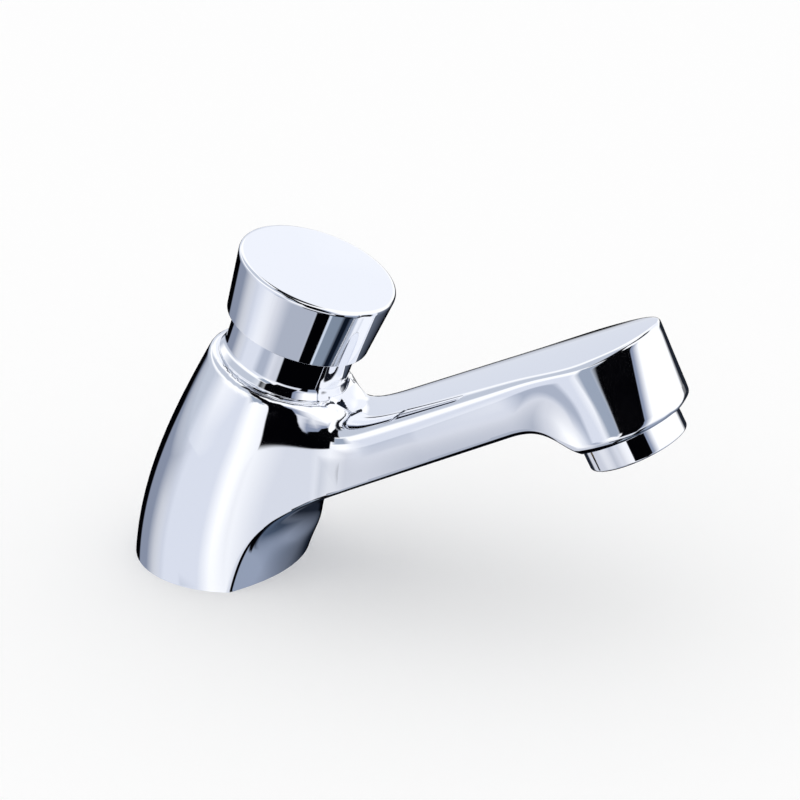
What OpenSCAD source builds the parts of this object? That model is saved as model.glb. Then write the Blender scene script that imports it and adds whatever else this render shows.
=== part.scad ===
// Self-closing basin tap: one leaning cast body with its spout, a push button over a metering
// cartridge, a threaded tail with its backnut, and an aerator in the nose.
// Millimetres, +Z up. The origin is the centre of the base, on the face that rests on the basin.
// The spout points along +X, and the part is the same on both sides of the XZ plane.

/* [Body] */
// Radius of the round base that rests on the basin
base_r = 25; // [23:0.5:28]
// Lean of the body and of the button, from upright towards the spout, in degrees
lean = 19.8; // [16:0.2:23]
// How far behind the base centre the leaning axis crosses the basin
axis_back = 5.2; // [4:0.2:7]
// Height of the shoulder under the neck, along the leaning axis
shoulder_l = 53; // [51:0.5:56]
// Radius of the body at the shoulder
shoulder_r = 17.8; // [17.5:0.1:20]
// Rounding of the shoulder's edge
shoulder_round = 2.6; // [1.5:0.1:4]
// Angle of the crease at the base, from the spout's side
crease_angle = 73; // [66:1:80]
// How far the front panel stands out between its two creases, at the base
panel_bulge = 9.4; // [7:0.2:11]
// How much fuller the panel is half way up
panel_swell = 5.2; // [3:0.2:7]
// Smooth blend between the body and the spout
body_blend = 14; // [8:1:18]

/* [Spout] */
// Rise of the spout above the level, in degrees
spout_rise = 24.4; // [22:0.2:27]
// Distance of the spout's top face from the base centre, square to the spout
spout_top = 23.85; // [23:0.1:26]
// Half of the spout's width
spout_half_w = 11.5; // [10.5:0.1:13]
// Depth of the spout where it leaves the body
spout_h_root = 14.9; // [14:0.1:17]
// Depth of the spout just before the nose
spout_h_tip = 13.4; // [13:0.1:16]
// Crown of the top face, as a radius
spout_crown = 70; // [50:5:120]
// Edge rounding of the top face at the body
top_round_root = 7; // [4:0.5:9]
// Edge rounding of the top face at the nose
top_round_tip = 1.6; // [1:0.1:3]
// Distance of the nose's axis along the spout, from the base centre
nose_s = 106.4; // [98:0.2:112]
// Tilt of the nose's axis from upright, bottom outwards, in degrees
nose_tilt = 27.4; // [25:0.2:30]
// Depth of the outlet's lower face under the top face, along the nose's axis
nose_depth = 27.1; // [26:0.1:30]
// Radius of the nose's front wall at its lower rim
nose_rim_r = 15.9; // [15.5:0.1:18]
// Radius of the nose's front wall at the top face
nose_top_r = 17.3; // [16.5:0.1:19]
// Half width of the nose at the top face
nose_top_half_w = 12.4; // [12:0.1:14]
// Rounding of the nose's lower edge
rim_round = 2.2; // [1.5:0.1:2.6]

/* [Button] */
// Radius of the push button at its top
button_top_r = 19.25; // [18.8:0.05:21]
// Radius of the push button at its lower rim
button_rim_r = 17.4; // [17.2:0.1:19]
// Height of the button
button_h = 16.5; // [15:0.1:20]
// Height of the neck that shows under the button
neck_show = 11.2; // [10:0.1:14]
// Travel of the button
stroke = 7; // [5:0.1:7.5]
// Wall of the button's skirt at its rim
skirt_wall = 1.6; // [1.2:0.05:1.7]
// Thickness of the button's top
button_cap_t = 3.6; // [2.5:0.1:4.5]
// Dome of the button's top face, as the height of its middle
button_dome = 0.5; // [0.2:0.1:1]
// Radius of the small round on the button's top edge
button_edge = 0.5; // [0.3:0.1:1]

/* [Neck sleeve] */
// Radius of the neck sleeve
neck_r = 15.2; // [15:0.05:15.3]
// Radius of the sleeve's flared foot
neck_foot_r = 16; // [15.7:0.05:16.3]
// Wall of the sleeve
neck_wall = 1.8; // [1.4:0.1:2]

/* [Cartridge] */
// Thread radius of the cartridge where it screws into the body
cart_thread_r = 12.45; // [12:0.05:12.6]
// Radius of the chamber that the cartridge reaches into
chamber_r = 10.6; // [10.4:0.05:11]
// Radius of the stem in the gland
stem_r = 4; // [3.5:0.1:4.2]
// Radius of the stem below the piston
stem_low_r = 2; // [1.8:0.1:2.4]
// Radius of the damping cylinder
piston_bore_r = 6.5; // [6.3:0.1:6.8]
// Wire thickness of the return spring
spring_wire = 0.7; // [0.5:0.05:0.8]
// Number of coils of the return spring
spring_turns = 5; // [4:1:6]
// Radius of the hole in the valve seat
seat_hole_r = 3.6; // [3.2:0.1:3.8]
// Section radius of the sealing rings
oring_r = 0.8; // [0.7:0.05:0.9]
// Running gap of shafts, pistons and threads
run_gap = 0.05; // [0.03:0.01:0.08]

/* [Tail] */
// Radius over the thread of the tail
tail_r = 10.48; // [10.3:0.01:10.6]
// Length of the tail below the basin
tail_l = 50; // [46:1:60]
// Radius of the water passage in the tail
tail_bore_r = 6.5; // [5.5:0.1:7.2]
// Length of the supply thread at the tail's free end, up to its groove
supply_l = 15; // [12:0.5:16]
// Thickness of basin that the nut clamps in the shown position
deck_t = 20; // [16:1:24]
// Width across the flats of the backnut
nut_af = 30; // [27:0.5:32]
// Height of the backnut
nut_h = 7; // [6:0.5:8]
// Radius of the washer under the basin
clamp_r = 19; // [17:0.5:22]
// Thickness of the rubber washer under the basin
clamp_t = 2.5; // [2:0.1:3.5]
// Thickness of the steel slip washer
slip_t = 1.5; // [1:0.1:2]
// Thickness of the base gasket
gasket_t = 3; // [2:0.1:3.5]

/* [Outlet] */
// Radius of the aerator's shell
aer_r = 12.05; // [11.8:0.05:12.3]
// Height of the shell that shows under the nose
aer_show = 6.2; // [5:0.1:7]
// Radius over the shell's thread
aer_thread_r = 11; // [10.6:0.05:11.2]
// Radius of the hole that the insert sits in
aer_bore_r = 9.6; // [9.2:0.1:9.8]
// Radius of the waterway in the spout
waterway_r = 4.3; // [3.5:0.1:4.6]

/* [Hidden] */
$fn = 96;

// Small gaps: between faces that lie on each other loosely, and past a face that a cut goes through
loose = 0.3;
seat_gap = 0.05;
past = 1;

// Colours as they look
chrome = [0.86, 0.88, 0.92];
brass = [0.80, 0.64, 0.32];
steel = [0.62, 0.64, 0.67];
rubber = [0.08, 0.08, 0.09];
plastic = [0.93, 0.93, 0.90];

// Smooth least and greatest of two distances, blended over k
function smin(a, b, k) = min(a, b) - pow(max(k - abs(a - b), 0), 3) / (6 * k * k);
function smax(a, b, k) = -smin(-a, -b, k);
function clamp01(v) = min(max(v, 0), 1);
function mix(a, b, v) = a + (b - a) * v;
function bezier(p, t) = pow(1 - t, 3) * p[0] + 3 * pow(1 - t, 2) * t * p[1]
    + 3 * (1 - t) * t * t * p[2] + t * t * t * p[3];

// The leaning axis: l is the distance along it from where it crosses the basin
sin_l = sin(lean);
cos_l = cos(lean);
module on_lean(l = 0) {
    translate([-axis_back, 0, 0]) rotate([0, lean, 0]) translate([0, 0, l]) children();
}

// The spout's own frame in side view: s runs along it, n square to it
function spout_point(s, n) =
    [s * cos(spout_rise) - n * sin(spout_rise), s * sin(spout_rise) + n * cos(spout_rise)];

// The nose's axis: h runs up it from the aerator's lower face
nose_up = [-sin(nose_tilt), cos(nose_tilt)];
nose_out = [cos(nose_tilt), sin(nose_tilt)];
outlet = spout_point(nose_s, spout_top) - nose_depth * nose_up;
rim_h = aer_show;
module on_nose(h = 0) {
    translate([outlet[0], 0, outlet[1]]) rotate([0, -nose_tilt, 0]) translate([0, 0, h]) children();
}

// Body form: level circles at the base that tip over until they stand square to the leaning
// axis at the shoulder. Their planes all pass through one line, tip_x in front of the base.
// A collar cut on the slant lifts the fillet in front of the neck.
shoulder_x = shoulder_l * sin_l - axis_back;
shoulder_z = shoulder_l * cos_l;
tip_x = shoulder_x + shoulder_z * cos_l / sin_l;
tip_top = norm([tip_x - shoulder_x, shoulder_z]);
collar_r = neck_r - 0.8;
collar_rise = 4;
collar_blend = 2.4;
function lean_distance(x, y, z) =
    let (w = atan2(z, tip_x - x) / lean)
    let (v = clamp01(w))
    let (spine = mix(tip_x, tip_top, v * v * (3 - 2 * v)))
    norm([norm([tip_x - x, z]) - spine, y]) - mix(base_r, shoulder_r, min(max(w, -0.2), 1.3));
function body_distance(x, y, z) =
    let (l = (x + axis_back) * sin_l + z * cos_l)
    let (front = (x + axis_back) * cos_l - z * sin_l)
    let (capped = smax(lean_distance(x, y, z), l - shoulder_l, shoulder_round))
    let (collar = max(norm([front, y]) - collar_r, l - shoulder_l - collar_rise * front / collar_r))
    smin(capped, collar, collar_blend);

// Spout form: side walls that swell into an oval nose, under a crowned top face
spout_back_x = 8;
nose_rim_half_w = nose_rim_r + 0.1;
nose_blend = 8;
fade_l = 60;
function spout_wall(x, y, z) =
    let (h = (x - outlet[0]) * nose_up[0] + (z - outlet[1]) * nose_up[1])
    let (u = (x - outlet[0]) * nose_out[0] + (z - outlet[1]) * nose_out[1])
    let (f = clamp01((h - rim_h - 1.8) / (nose_depth - rim_h - 2.9)))
    let (half_w = mix(nose_rim_half_w, nose_top_half_w, f))
    let (oval = (norm([u / mix(nose_rim_r, nose_top_r, f), y / half_w]) - 1) * half_w)
    smin(max(abs(y) - spout_half_w, u), oval, nose_blend);
function spout_distance(x, y, z) =
    let (s = x * cos(spout_rise) + z * sin(spout_rise))
    let (n = z * cos(spout_rise) - x * sin(spout_rise))
    let (edge = mix(top_round_tip, top_round_root, clamp01((nose_s + 1.6 - s) / fade_l)))
    let (top = n - spout_top + y * y / (2 * spout_crown))
    max(smax(spout_wall(x, y, z), top, edge), spout_back_x - x);
function skin_distance(x, y, z) =
    smin(body_distance(x, y, z), spout_distance(x, y, z), body_blend);

// Sections of the casting, each in a plane that stands on the lower rail and turns from level at
// the base to square across the spout. A section is [x, z, turn, centre, bulge, edge]: the rail's
// place, the plane's turn, the height of the fan's centre over the rail, how far the lower
// side stands out between the creases, and the rounding of the crease.
spout_turn = 90 - spout_rise;
nose_turn = 90 - nose_tilt;
rail_base = [base_r * cos(crease_angle), 0];
rail_root = spout_point(38.1, spout_top - spout_h_root);
rail_tip = spout_point(83.8, spout_top - spout_h_tip);
rail_run = (rail_tip - rail_root) / norm(rail_tip - rail_root);
rail_rim = outlet + rim_h * nose_up - 7.5 * nose_out;
rail_front = outlet + rim_h * nose_up + (nose_rim_r - rim_round) * nose_out;
crease_edge = 0.3;
under_bulge = 0.4;
under_edge = 1.8;
rim_edge = rim_round * 1.65;
panel_centre = [9, 13, 6];
nose_centre = 9;
panel_n = 34;
spout_n = 8;
throat_n = 9;
rim_n = 8;
front_n = 6;
function panel_section(a) =
    let (p = bezier([rail_base, rail_base + [2.9, 15], rail_root - 18 * rail_run + [0, 1.5],
        rail_root], a))
    [p[0], p[1], spout_turn * a * a * (3 - 2 * a),
        panel_centre[0] + (panel_centre[1] - panel_centre[0]) * sin(180 * a)
            + (panel_centre[2] - panel_centre[0]) * pow(a, 3),
        mix(panel_bulge, under_bulge, a) + panel_swell * sin(180 * a) * (1 - a), crease_edge];
function spout_section(a) =
    let (p = mix(rail_root, rail_tip, a))
    [p[0], p[1], spout_turn, panel_centre[2], under_bulge, mix(crease_edge, under_edge, a)];
function throat_section(a) =
    let (p = bezier([rail_tip, rail_tip + 10 * rail_run, rail_rim - 6 * nose_out + 2.6 * nose_up,
        rail_rim], a))
    [p[0], p[1], mix(spout_turn, nose_turn, a), mix(panel_centre[2], nose_centre, a),
        under_bulge * (1 - a), mix(under_edge, rim_edge, a)];
function rim_section(a) =
    let (p = mix(rail_rim, rail_front, a)) [p[0], p[1], nose_turn, nose_centre, 0, rim_edge];
function front_section(a) =
    let (p = rail_front + rim_round * (nose_up + 0.985 * sin(90 * a) * nose_out
        - cos(90 * a) * nose_up))
    [p[0], p[1], nose_turn, nose_centre, 0, rim_edge];
sections = [
    for (i = [0 : panel_n - 1]) panel_section(i / panel_n),
    for (i = [0 : spout_n - 1]) spout_section(i / spout_n),
    for (i = [0 : throat_n - 1]) throat_section(i / throat_n),
    for (i = [0 : rim_n - 1]) rim_section(i / rim_n),
    for (i = [0 : front_n]) front_section(i / front_n)
];

// Half width of the skin on the rail, and of the spout's walls at its top face, by halving
function half_width(c, lo, hi, i) =
    i == 0 ? lo : let (m = (lo + hi) / 2)
    skin_distance(c[0], m, c[1]) < 0 ? half_width(c, m, hi, i - 1) : half_width(c, lo, m, i - 1);
function top_width(x, z, lo, hi, i) =
    i == 0 ? lo : let (m = (lo + hi) / 2)
    spout_wall(x, m, z) < 0 ? top_width(x, z, m, hi, i - 1) : top_width(x, z, lo, m, i - 1);

// Angle of the fan's ray to the edge of the spout's top face, so that a row of points lies on it
function top_angle(c) =
    let (up = (spout_top + c[0] * sin(spout_rise) - c[1] * cos(spout_rise)) / sin(c[2] + spout_rise))
    atan2(top_width(c[0] - up * cos(c[2]), c[1] + up * sin(c[2]), 0, base_r, 12), up - c[3]);

// Distance of a point on a ray of a section, r out from the fan's centre at angle f
function ray_distance(c, w, f, r) =
    let (up = c[3] + r * cos(f))
    let (y = r * sin(f))
    let (t = min(abs(y) / max(w, past), 1))
    smax(skin_distance(c[0] - up * cos(c[2]), y, c[1] + up * sin(c[2])),
        -up - c[4] * (1 - t * t), c[5]);
function ray_step(c, w, f, r, d) = ray_distance(c, w, f, r + d) > 0 ? r : ray_step(c, w, f, r + d, d);
function ray_halve(c, w, f, lo, hi, i) =
    i == 0 ? lo : let (m = (lo + hi) / 2)
    ray_distance(c, w, f, m) < 0 ? ray_halve(c, w, f, m, hi, i - 1) : ray_halve(c, w, f, lo, m, i - 1);
ray_d = 2;
function ray_length(c, w, f) =
    let (r = ray_step(c, w, f, 0, ray_d)) ray_halve(c, w, f, r, r + ray_d, 15);

// Angle of the ray to the rim of the neck's recess, and 0 where the section misses the recess
rim_r = neck_foot_r + 0.5;
function rim_angle(c) =
    let (turn = c[2] - lean)
    let (up = (shoulder_l - (c[0] + axis_back) * sin_l - c[1] * cos_l) / sin(max(turn, 1)))
    let (front = (c[0] + axis_back) * cos_l - c[1] * sin_l - up * cos(turn))
    abs(front) < rim_r ? atan2(sqrt(rim_r * rim_r - front * front), up - c[3]) : 0;

// One closed ring of points: over the back or top from crease to crease, then the lower side.
// One row of points lies on the edge that stands farther out, and the next rays crowd to it.
top_n = 6;
side_n = 19;
lower_n = 5;
half_n = top_n + side_n + lower_n;
side_crowd = 1.5;
function ray_angle(i, top, crease) =
    i <= top_n ? top * i / top_n
    : i <= top_n + side_n ? mix(top, crease, pow((i - top_n) / side_n, side_crowd))
    : mix(crease, 180, (i - top_n - side_n) / lower_n);
function ring(c) =
    let (w = half_width(c, 0, base_r + 15, 16))
    let (crease = 180 - atan2(w, c[3]))
    let (top = max(top_angle(c), rim_angle(c)))
    let (half = [for (i = [0 : half_n])
        let (f = ray_angle(i, top, crease))
        let (r = ray_length(c, w, f))
        let (up = c[3] + r * cos(f))
        [c[0] - up * cos(c[2]), -r * sin(f), c[1] + up * sin(c[2])]])
    [for (i = [0 : half_n]) half[i], for (i = [half_n - 1 : -1 : 1]) [half[i][0], -half[i][1], half[i][2]]];

module casting_skin() {
    rings = [for (c = sections) ring(c)];
    m = 2 * half_n;
    n = len(rings);
    foot = [for (p = rings[0]) [p[0], p[1], -past]];
    polyhedron(
        points = [for (p = foot) p, for (g = rings) for (p = g) p],
        faces = [
            [for (j = [0 : m - 1]) m - 1 - j],
            for (i = [0 : n - 1]) for (j = [0 : m - 1])
                let (a = i * m + j)
                let (b = i * m + (j + 1) % m)
                each j < half_n ? [[a, b, b + m], [a, b + m, a + m]] : [[a, b, a + m], [b, b + m, a + m]],
            [for (j = [0 : m - 1]) n * m + j]
        ]);
}

// Heights along the leaning axis, from the shoulder up to the button
recess_t = 2;
lip_t = 1.5;
flange_t = 2.5;
gland_seat_t = 1;
cart_head_t = 6;
boss_up = 7.8;
lock_nut_t = 2.4;
nut_gap = 0.6;
screw_t = 4.5;
neck_l = shoulder_l - recess_t;
flange_l = neck_l + lip_t;
gland_l = neck_l + gland_seat_t;
cart_top_l = gland_l + cart_head_t;
rim_l = shoulder_l + neck_show;
button_l = rim_l + button_h;
boss_l = rim_l + boss_up;
gland_top_l = boss_l - lock_nut_t - stroke - nut_gap;
stem_top_l = boss_l + screw_t;

// Heights down the cartridge, which hangs from its flange: the piston stands a little under
// the gland, over the room that the spring needs to shorten by the stroke
piston_gap = 2.5;
cup_t = 1.5;
piston_t = 4;
spring_spare = 1.5;
wall_t = 2;
window_drop = 2.6;
seat_drop = 7.4;
seat_t = 1.8;
seat_rim_t = 1.6;
ring_groove_t = 1.1;
cart_foot_t = 4;
chamber_gap = 2;
cart_step_t = 9;
cart_washer_t = 1.2;
valve_washer_t = 1.3;
valve_nut_t = 1.5;
piston_l = gland_l - piston_gap - cup_t - piston_t;
wall_l = piston_l - stroke - spring_turns * spring_wire - spring_spare - wall_t;
window_l = wall_l - window_drop;
seat_l = wall_l - seat_drop;
cart_l = seat_l - seat_rim_t;
ring_groove_l = cart_l + ring_groove_t;
cart_neck_l = cart_l + cart_foot_t;
chamber_l = cart_l - chamber_gap;
cart_step_l = neck_l - cart_step_t;

// Radii of the cartridge
groove_depth = 1.4;
cart_low_r = chamber_r - 0.2;
cart_tube_r = 8.4;
flow_r = 4.6;
seat_ring_r = 7;
flange_r = neck_r - neck_wall - 0.2;
spigot_r = neck_foot_r - 1;
gland_r = piston_bore_r + 2;
cart_top_r = 10.5;
bore_thread_r = cart_thread_r + run_gap;
stem_screw_r = 3;
boss_r = 6;
window_r = 2;
window_n = 4;
lock_nut_af = 10;
gland_af = 19;
valve_nut_af = 6;

// Heights of the passages over the base
socket_z = 10;
shank_washer_t = 1.2;
passage_z = 21;
core_z = 9;
gasket_wall = 2.6;
core_wall = 4.6;
socket_wall = 3;
front_r = (pow(panel_bulge, 2) + pow(base_r * sin(crease_angle), 2)) / (2 * panel_bulge);
front_x = rail_base[0] + panel_bulge - front_r;

// Outline of the base in plan, taken in by d
module base_plan(d) {
    intersection() {
        circle(r = base_r - d);
        translate([front_x, 0]) circle(r = front_r - d);
    }
}

// Inside of the casting along the leaning axis: chamber, cartridge thread and neck recess
module cartridge_cavity() {
    on_lean() rotate_extrude() polygon([[0, chamber_l], [chamber_r, chamber_l],
        [chamber_r, cart_step_l], [bore_thread_r, cart_step_l], [bore_thread_r, neck_l],
        [spigot_r + seat_gap, neck_l], [spigot_r + seat_gap, shoulder_l + seat_gap],
        [neck_foot_r + seat_gap, shoulder_l + seat_gap], [neck_foot_r + seat_gap, shoulder_l + 10],
        [0, shoulder_l + 10]]);
}

// Inlet under the body: the tail's thread and the passage up to the chamber
module inlet_cavity() {
    rotate_extrude() polygon([[0, -past * 3], [tail_r + run_gap, -past * 3],
        [tail_r + run_gap, socket_z + shank_washer_t], [tail_bore_r, socket_z + shank_washer_t],
        [tail_bore_r, passage_z], [0, passage_z]]);
}

// Recess for the gasket, and the hollow above it that keeps the casting's walls even
module base_cavity() {
    translate([0, 0, -past]) linear_extrude(gasket_t + past) base_plan(gasket_wall);
    linear_extrude(core_z) difference() {
        base_plan(core_wall);
        circle(r = tail_r + socket_wall);
    }
}

// Waterway from the chamber to the nose, and the threaded outlet
waterway_n = spout_top - 7.4;
waterway_s = 20;
shell_thread_h = 7.8;
outlet_step_h = rim_h + shell_thread_h;
outlet_top_h = nose_depth - 5;
outlet_cavity_r = 8.5;
module waterway() {
    p = spout_point(waterway_s, waterway_n);
    translate([p[0], 0, p[1]]) rotate([0, spout_turn, 0])
        cylinder(r = waterway_r, h = nose_s - waterway_s - 4);
}
module outlet_cavity() {
    on_nose() rotate_extrude() polygon([[0, rim_h - 3], [aer_thread_r + run_gap, rim_h - 3],
        [aer_thread_r + run_gap, outlet_step_h], [outlet_cavity_r, outlet_step_h],
        [outlet_cavity_r, outlet_top_h], [0, outlet_top_h]]);
}

module tap_body() {
    color(chrome) difference() {
        casting_skin();
        translate([0, 0, -2 * past]) cylinder(r = base_r + 5, h = 2 * past);
        cartridge_cavity();
        inlet_cavity();
        base_cavity();
        waterway();
        outlet_cavity();
    }
}

// Sleeve round the cartridge's head: its foot rests on the shoulder, its spigot stands in the
// recess, and the cartridge's flange holds it down on its inner lip
module neck_sleeve() {
    inner = neck_r - neck_wall;
    foot_l = shoulder_l + 0.6;
    color(chrome) on_lean() rotate_extrude() polygon(concat(
        [[bore_thread_r, neck_l], [spigot_r, neck_l], [spigot_r, shoulder_l + 2 * seat_gap],
            [neck_foot_r, shoulder_l + 2 * seat_gap], [neck_foot_r, foot_l]],
        [for (i = [1 : 8]) let (a = i / 8)
            [mix(neck_foot_r, neck_r, sin(90 * a)), foot_l + 3 * (1 - cos(90 * a))]],
        [[neck_r, rim_l + 1.6], [neck_r - 0.4, rim_l + 2], [inner, rim_l + 2],
            [inner, flange_l], [bore_thread_r, flange_l]]));
}

// Push button: a cap with a skirt that slides down over the sleeve, and a threaded boss
module push_button() {
    skirt_r = button_rim_r - skirt_wall;
    cap_l = button_l - button_cap_t;
    lean_out = (button_top_r - button_rim_r) / button_h;
    color(chrome) on_lean() rotate_extrude() polygon(concat(
        [[skirt_r, rim_l], [button_rim_r - 0.2, rim_l], [button_rim_r, rim_l + 0.2]],
        [for (i = [0 : 6]) let (a = 15 * i)
            [button_top_r - button_edge * (1 - cos(a)) - lean_out * button_edge,
                button_l - button_dome - button_edge * (1 - sin(a))]],
        [for (i = [1 : 8]) let (v = 1 - i / 8)
            [(button_top_r - button_edge) * v, button_l - button_dome * v * v]],
        [[0, stem_top_l + 0.5], [stem_screw_r + run_gap, stem_top_l + 0.5],
            [stem_screw_r + run_gap, boss_l], [boss_r, boss_l], [boss_r, cap_l - 1],
            [boss_r + 1, cap_l], [skirt_r - 0.6, cap_l], [skirt_r, cap_l - 0.6]]));
}

// A hexagon nut with its bore, across the flats af
module hex_nut(af, bore, h) {
    difference() {
        intersection() {
            cylinder(r = af / sqrt(3), h = h, $fn = 6);
            rotate_extrude() polygon([[0, 0], [af / 2 + 0.2, 0], [af / sqrt(3) + 0.1, h * 0.15],
                [af / sqrt(3) + 0.1, h * 0.85], [af / 2 + 0.2, h], [0, h]]);
        }
        translate([0, 0, -past]) cylinder(r = bore, h = h + 2 * past);
    }
}

module lock_nut() {
    color(steel) on_lean(boss_l - lock_nut_t)
        hex_nut(lock_nut_af, stem_screw_r + run_gap, lock_nut_t - seat_gap);
}

// Stem: screw end under the button, guided length in the gland, thin length to the valve
module stem() {
    low = cart_l - valve_nut_t;
    shoulder = piston_l + piston_t + cup_t * 0.6 + seat_gap;
    color(steel) on_lean() rotate_extrude() polygon([[0, low], [stem_low_r - 0.3, low],
        [stem_low_r, low + 0.3], [stem_low_r, shoulder],
        [stem_r, shoulder], [stem_r, gland_top_l + stroke + 0.4],
        [stem_screw_r, gland_top_l + stroke + 0.4], [stem_screw_r, stem_top_l - 0.5],
        [stem_screw_r - 0.5, stem_top_l], [0, stem_top_l]]);
}

// A round ring of a flat section
module flat_ring(outer, inner, t) {
    rotate_extrude() polygon([[inner, 0], [outer, 0], [outer, t], [inner, t]]);
}

module piston() {
    color(brass) on_lean(piston_l) rotate_extrude() polygon([[stem_low_r + seat_gap, 0],
        [piston_bore_r - 1, 0], [piston_bore_r - run_gap, 1], [piston_bore_r - run_gap, piston_t],
        [stem_low_r + seat_gap, piston_t]]);
}

// Lip seal over the piston
module piston_cup() {
    color(rubber) on_lean(piston_l + piston_t) rotate_extrude() polygon([
        [stem_low_r + seat_gap, 0], [piston_bore_r - 0.6, 0], [piston_bore_r - run_gap, cup_t],
        [piston_bore_r - 1, cup_t], [piston_bore_r - 1.6, cup_t * 0.6],
        [stem_low_r + seat_gap, cup_t * 0.6]]);
}

spring_seat_t = 0.8;
module spring_seat() {
    color(steel) on_lean(piston_l - spring_seat_t)
        flat_ring(piston_bore_r - loose, stem_low_r + seat_gap, spring_seat_t);
}

// Return spring: a round wire swept along a helix, its ends laid flat
spring_r = (piston_bore_r + stem_low_r) / 2 + 0.4;
spring_low = wall_l + wall_t + spring_wire / 2 + seat_gap;
spring_high = piston_l - spring_seat_t - spring_wire / 2 - seat_gap;
spring_rings = 16;
spring_sides = 6;
spring_flat = 0.8;
function spring_height(v) =
    mix(spring_low, spring_high,
        clamp01((v * spring_turns - spring_flat) / (spring_turns - 2 * spring_flat)));
module return_spring() {
    n = spring_turns * spring_rings;
    pts = [for (i = [0 : n]) let (a = 360 * i / spring_rings)
        for (j = [0 : spring_sides - 1])
            let (b = 360 * j / spring_sides)
            let (r = spring_r + spring_wire / 2 * cos(b))
            [r * cos(a), r * sin(a), spring_height(i / n) + spring_wire / 2 * sin(b)]];
    color(steel) on_lean() polyhedron(points = pts, faces = [
        [for (j = [0 : spring_sides - 1]) j],
        for (i = [0 : n - 1]) for (j = [0 : spring_sides - 1])
            let (k = (j + 1) % spring_sides) each [
            [i * spring_sides + j, (i + 1) * spring_sides + k, i * spring_sides + k],
            [i * spring_sides + j, (i + 1) * spring_sides + j, (i + 1) * spring_sides + k]],
        [for (j = [0 : spring_sides - 1]) n * spring_sides + spring_sides - 1 - j]]);
}

// Rubber washer that closes the seat from below, with its nut
module valve_washer() {
    color(rubber) on_lean(seat_l - valve_washer_t - seat_gap)
        flat_ring(seat_hole_r + 1.2, stem_low_r + seat_gap, valve_washer_t);
}
module valve_nut() {
    color(steel) on_lean(seat_l - valve_washer_t - valve_nut_t - 2 * seat_gap)
        hex_nut(valve_nut_af, stem_low_r + run_gap, valve_nut_t);
}

// Cartridge: lower tube with its seal groove and water windows, damping cylinder, thread, flange
module cartridge_body() {
    color(brass) on_lean() difference() {
        rotate_extrude() polygon([
            [seat_ring_r, cart_l], [cart_low_r, cart_l], [cart_low_r, ring_groove_l],
            [cart_low_r - groove_depth, ring_groove_l],
            [cart_low_r - groove_depth, ring_groove_l + 2 * oring_r + 0.2],
            [cart_low_r, ring_groove_l + 2 * oring_r + 0.2], [cart_low_r, cart_neck_l],
            [cart_tube_r, cart_neck_l + 1], [cart_tube_r, cart_step_l + cart_washer_t],
            [cart_thread_r, cart_step_l + cart_washer_t], [cart_thread_r, flange_l + seat_gap],
            [flange_r, flange_l + seat_gap], [flange_r, flange_l + flange_t],
            [cart_top_r, flange_l + flange_t], [cart_top_r, cart_top_l],
            [gland_r, cart_top_l], [gland_r, gland_l], [piston_bore_r, gland_l],
            [piston_bore_r, wall_l + wall_t], [stem_low_r + run_gap, wall_l + wall_t],
            [stem_low_r + run_gap, wall_l], [flow_r, wall_l], [flow_r, seat_l + seat_t],
            [seat_ring_r, seat_l + seat_t]]);
        for (i = [0 : window_n - 1]) rotate([0, 0, 360 * i / window_n]) translate([0, 0, window_l])
            rotate([0, 90, 0]) cylinder(r = window_r, h = cart_tube_r + 2);
    }
}

// Gland screwed into the cartridge's head, with a groove for the stem's sealing ring
module gland() {
    groove_l = gland_l + 3;
    color(brass) on_lean() difference() {
        union() {
            rotate_extrude() polygon([[0, gland_l], [gland_r - run_gap, gland_l],
                [gland_r - run_gap, cart_top_l], [0, cart_top_l]]);
            translate([0, 0, cart_top_l]) hex_nut(gland_af, stem_r + run_gap, gland_top_l - cart_top_l);
        }
        rotate_extrude() polygon([[0, gland_l - 1], [stem_r + run_gap, gland_l - 1],
            [stem_r + run_gap, groove_l], [stem_r + groove_depth, groove_l],
            [stem_r + groove_depth, groove_l + 2 * oring_r + 0.2],
            [stem_r + run_gap, groove_l + 2 * oring_r + 0.2],
            [stem_r + run_gap, gland_top_l + 1], [0, gland_top_l + 1]]);
    }
}
module stem_oring() {
    minor = (groove_depth - 2 * run_gap) / 2;
    color(rubber) on_lean(gland_l + 3 + oring_r + 0.1)
        rotate_extrude() translate([stem_r + run_gap + minor, 0]) circle(r = minor, $fn = 32);
}
module cartridge_oring() {
    color(rubber) on_lean(ring_groove_l + oring_r + 0.1)
        rotate_extrude() translate([chamber_r - oring_r - 0.02, 0]) circle(r = oring_r - 0.02, $fn = 32);
}
module cartridge_washer() {
    color(rubber) on_lean(cart_step_l + seat_gap)
        flat_ring(cart_thread_r - 0.1, chamber_r, cart_washer_t - 2 * seat_gap);
}
module valve_seat() {
    color(steel) on_lean(seat_l) rotate_extrude() polygon([[seat_hole_r, 0], [seat_hole_r + 0.8, 0],
        [seat_hole_r + 1.4, 0.3], [seat_ring_r - run_gap, 0.3], [seat_ring_r - run_gap, seat_t - seat_gap],
        [seat_hole_r, seat_t - seat_gap]]);
}

// Threaded tail, screwed into the casting against a washer
strainer_h = 9;
restrictor_h = 4;
pocket_r = 8;
module tail_shank() {
    pocket_z = -tail_l + strainer_h + restrictor_h;
    color(brass) rotate_extrude() polygon([[pocket_r, -tail_l], [tail_r - 0.8, -tail_l],
        [tail_r, -tail_l + 0.8], [tail_r, supply_l - tail_l], [tail_r - 0.6, supply_l - tail_l + 0.6],
        [tail_r - 0.6, supply_l - tail_l + 1.4], [tail_r, supply_l - tail_l + 2],
        [tail_r, socket_z - 0.5], [tail_r - 0.5, socket_z],
        [tail_bore_r, socket_z], [tail_bore_r, pocket_z], [pocket_r, pocket_z]]);
}
module shank_washer() {
    color(plastic) translate([0, 0, socket_z + seat_gap])
        flat_ring(tail_r - loose, tail_bore_r, shank_washer_t - 2 * seat_gap);
}

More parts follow.
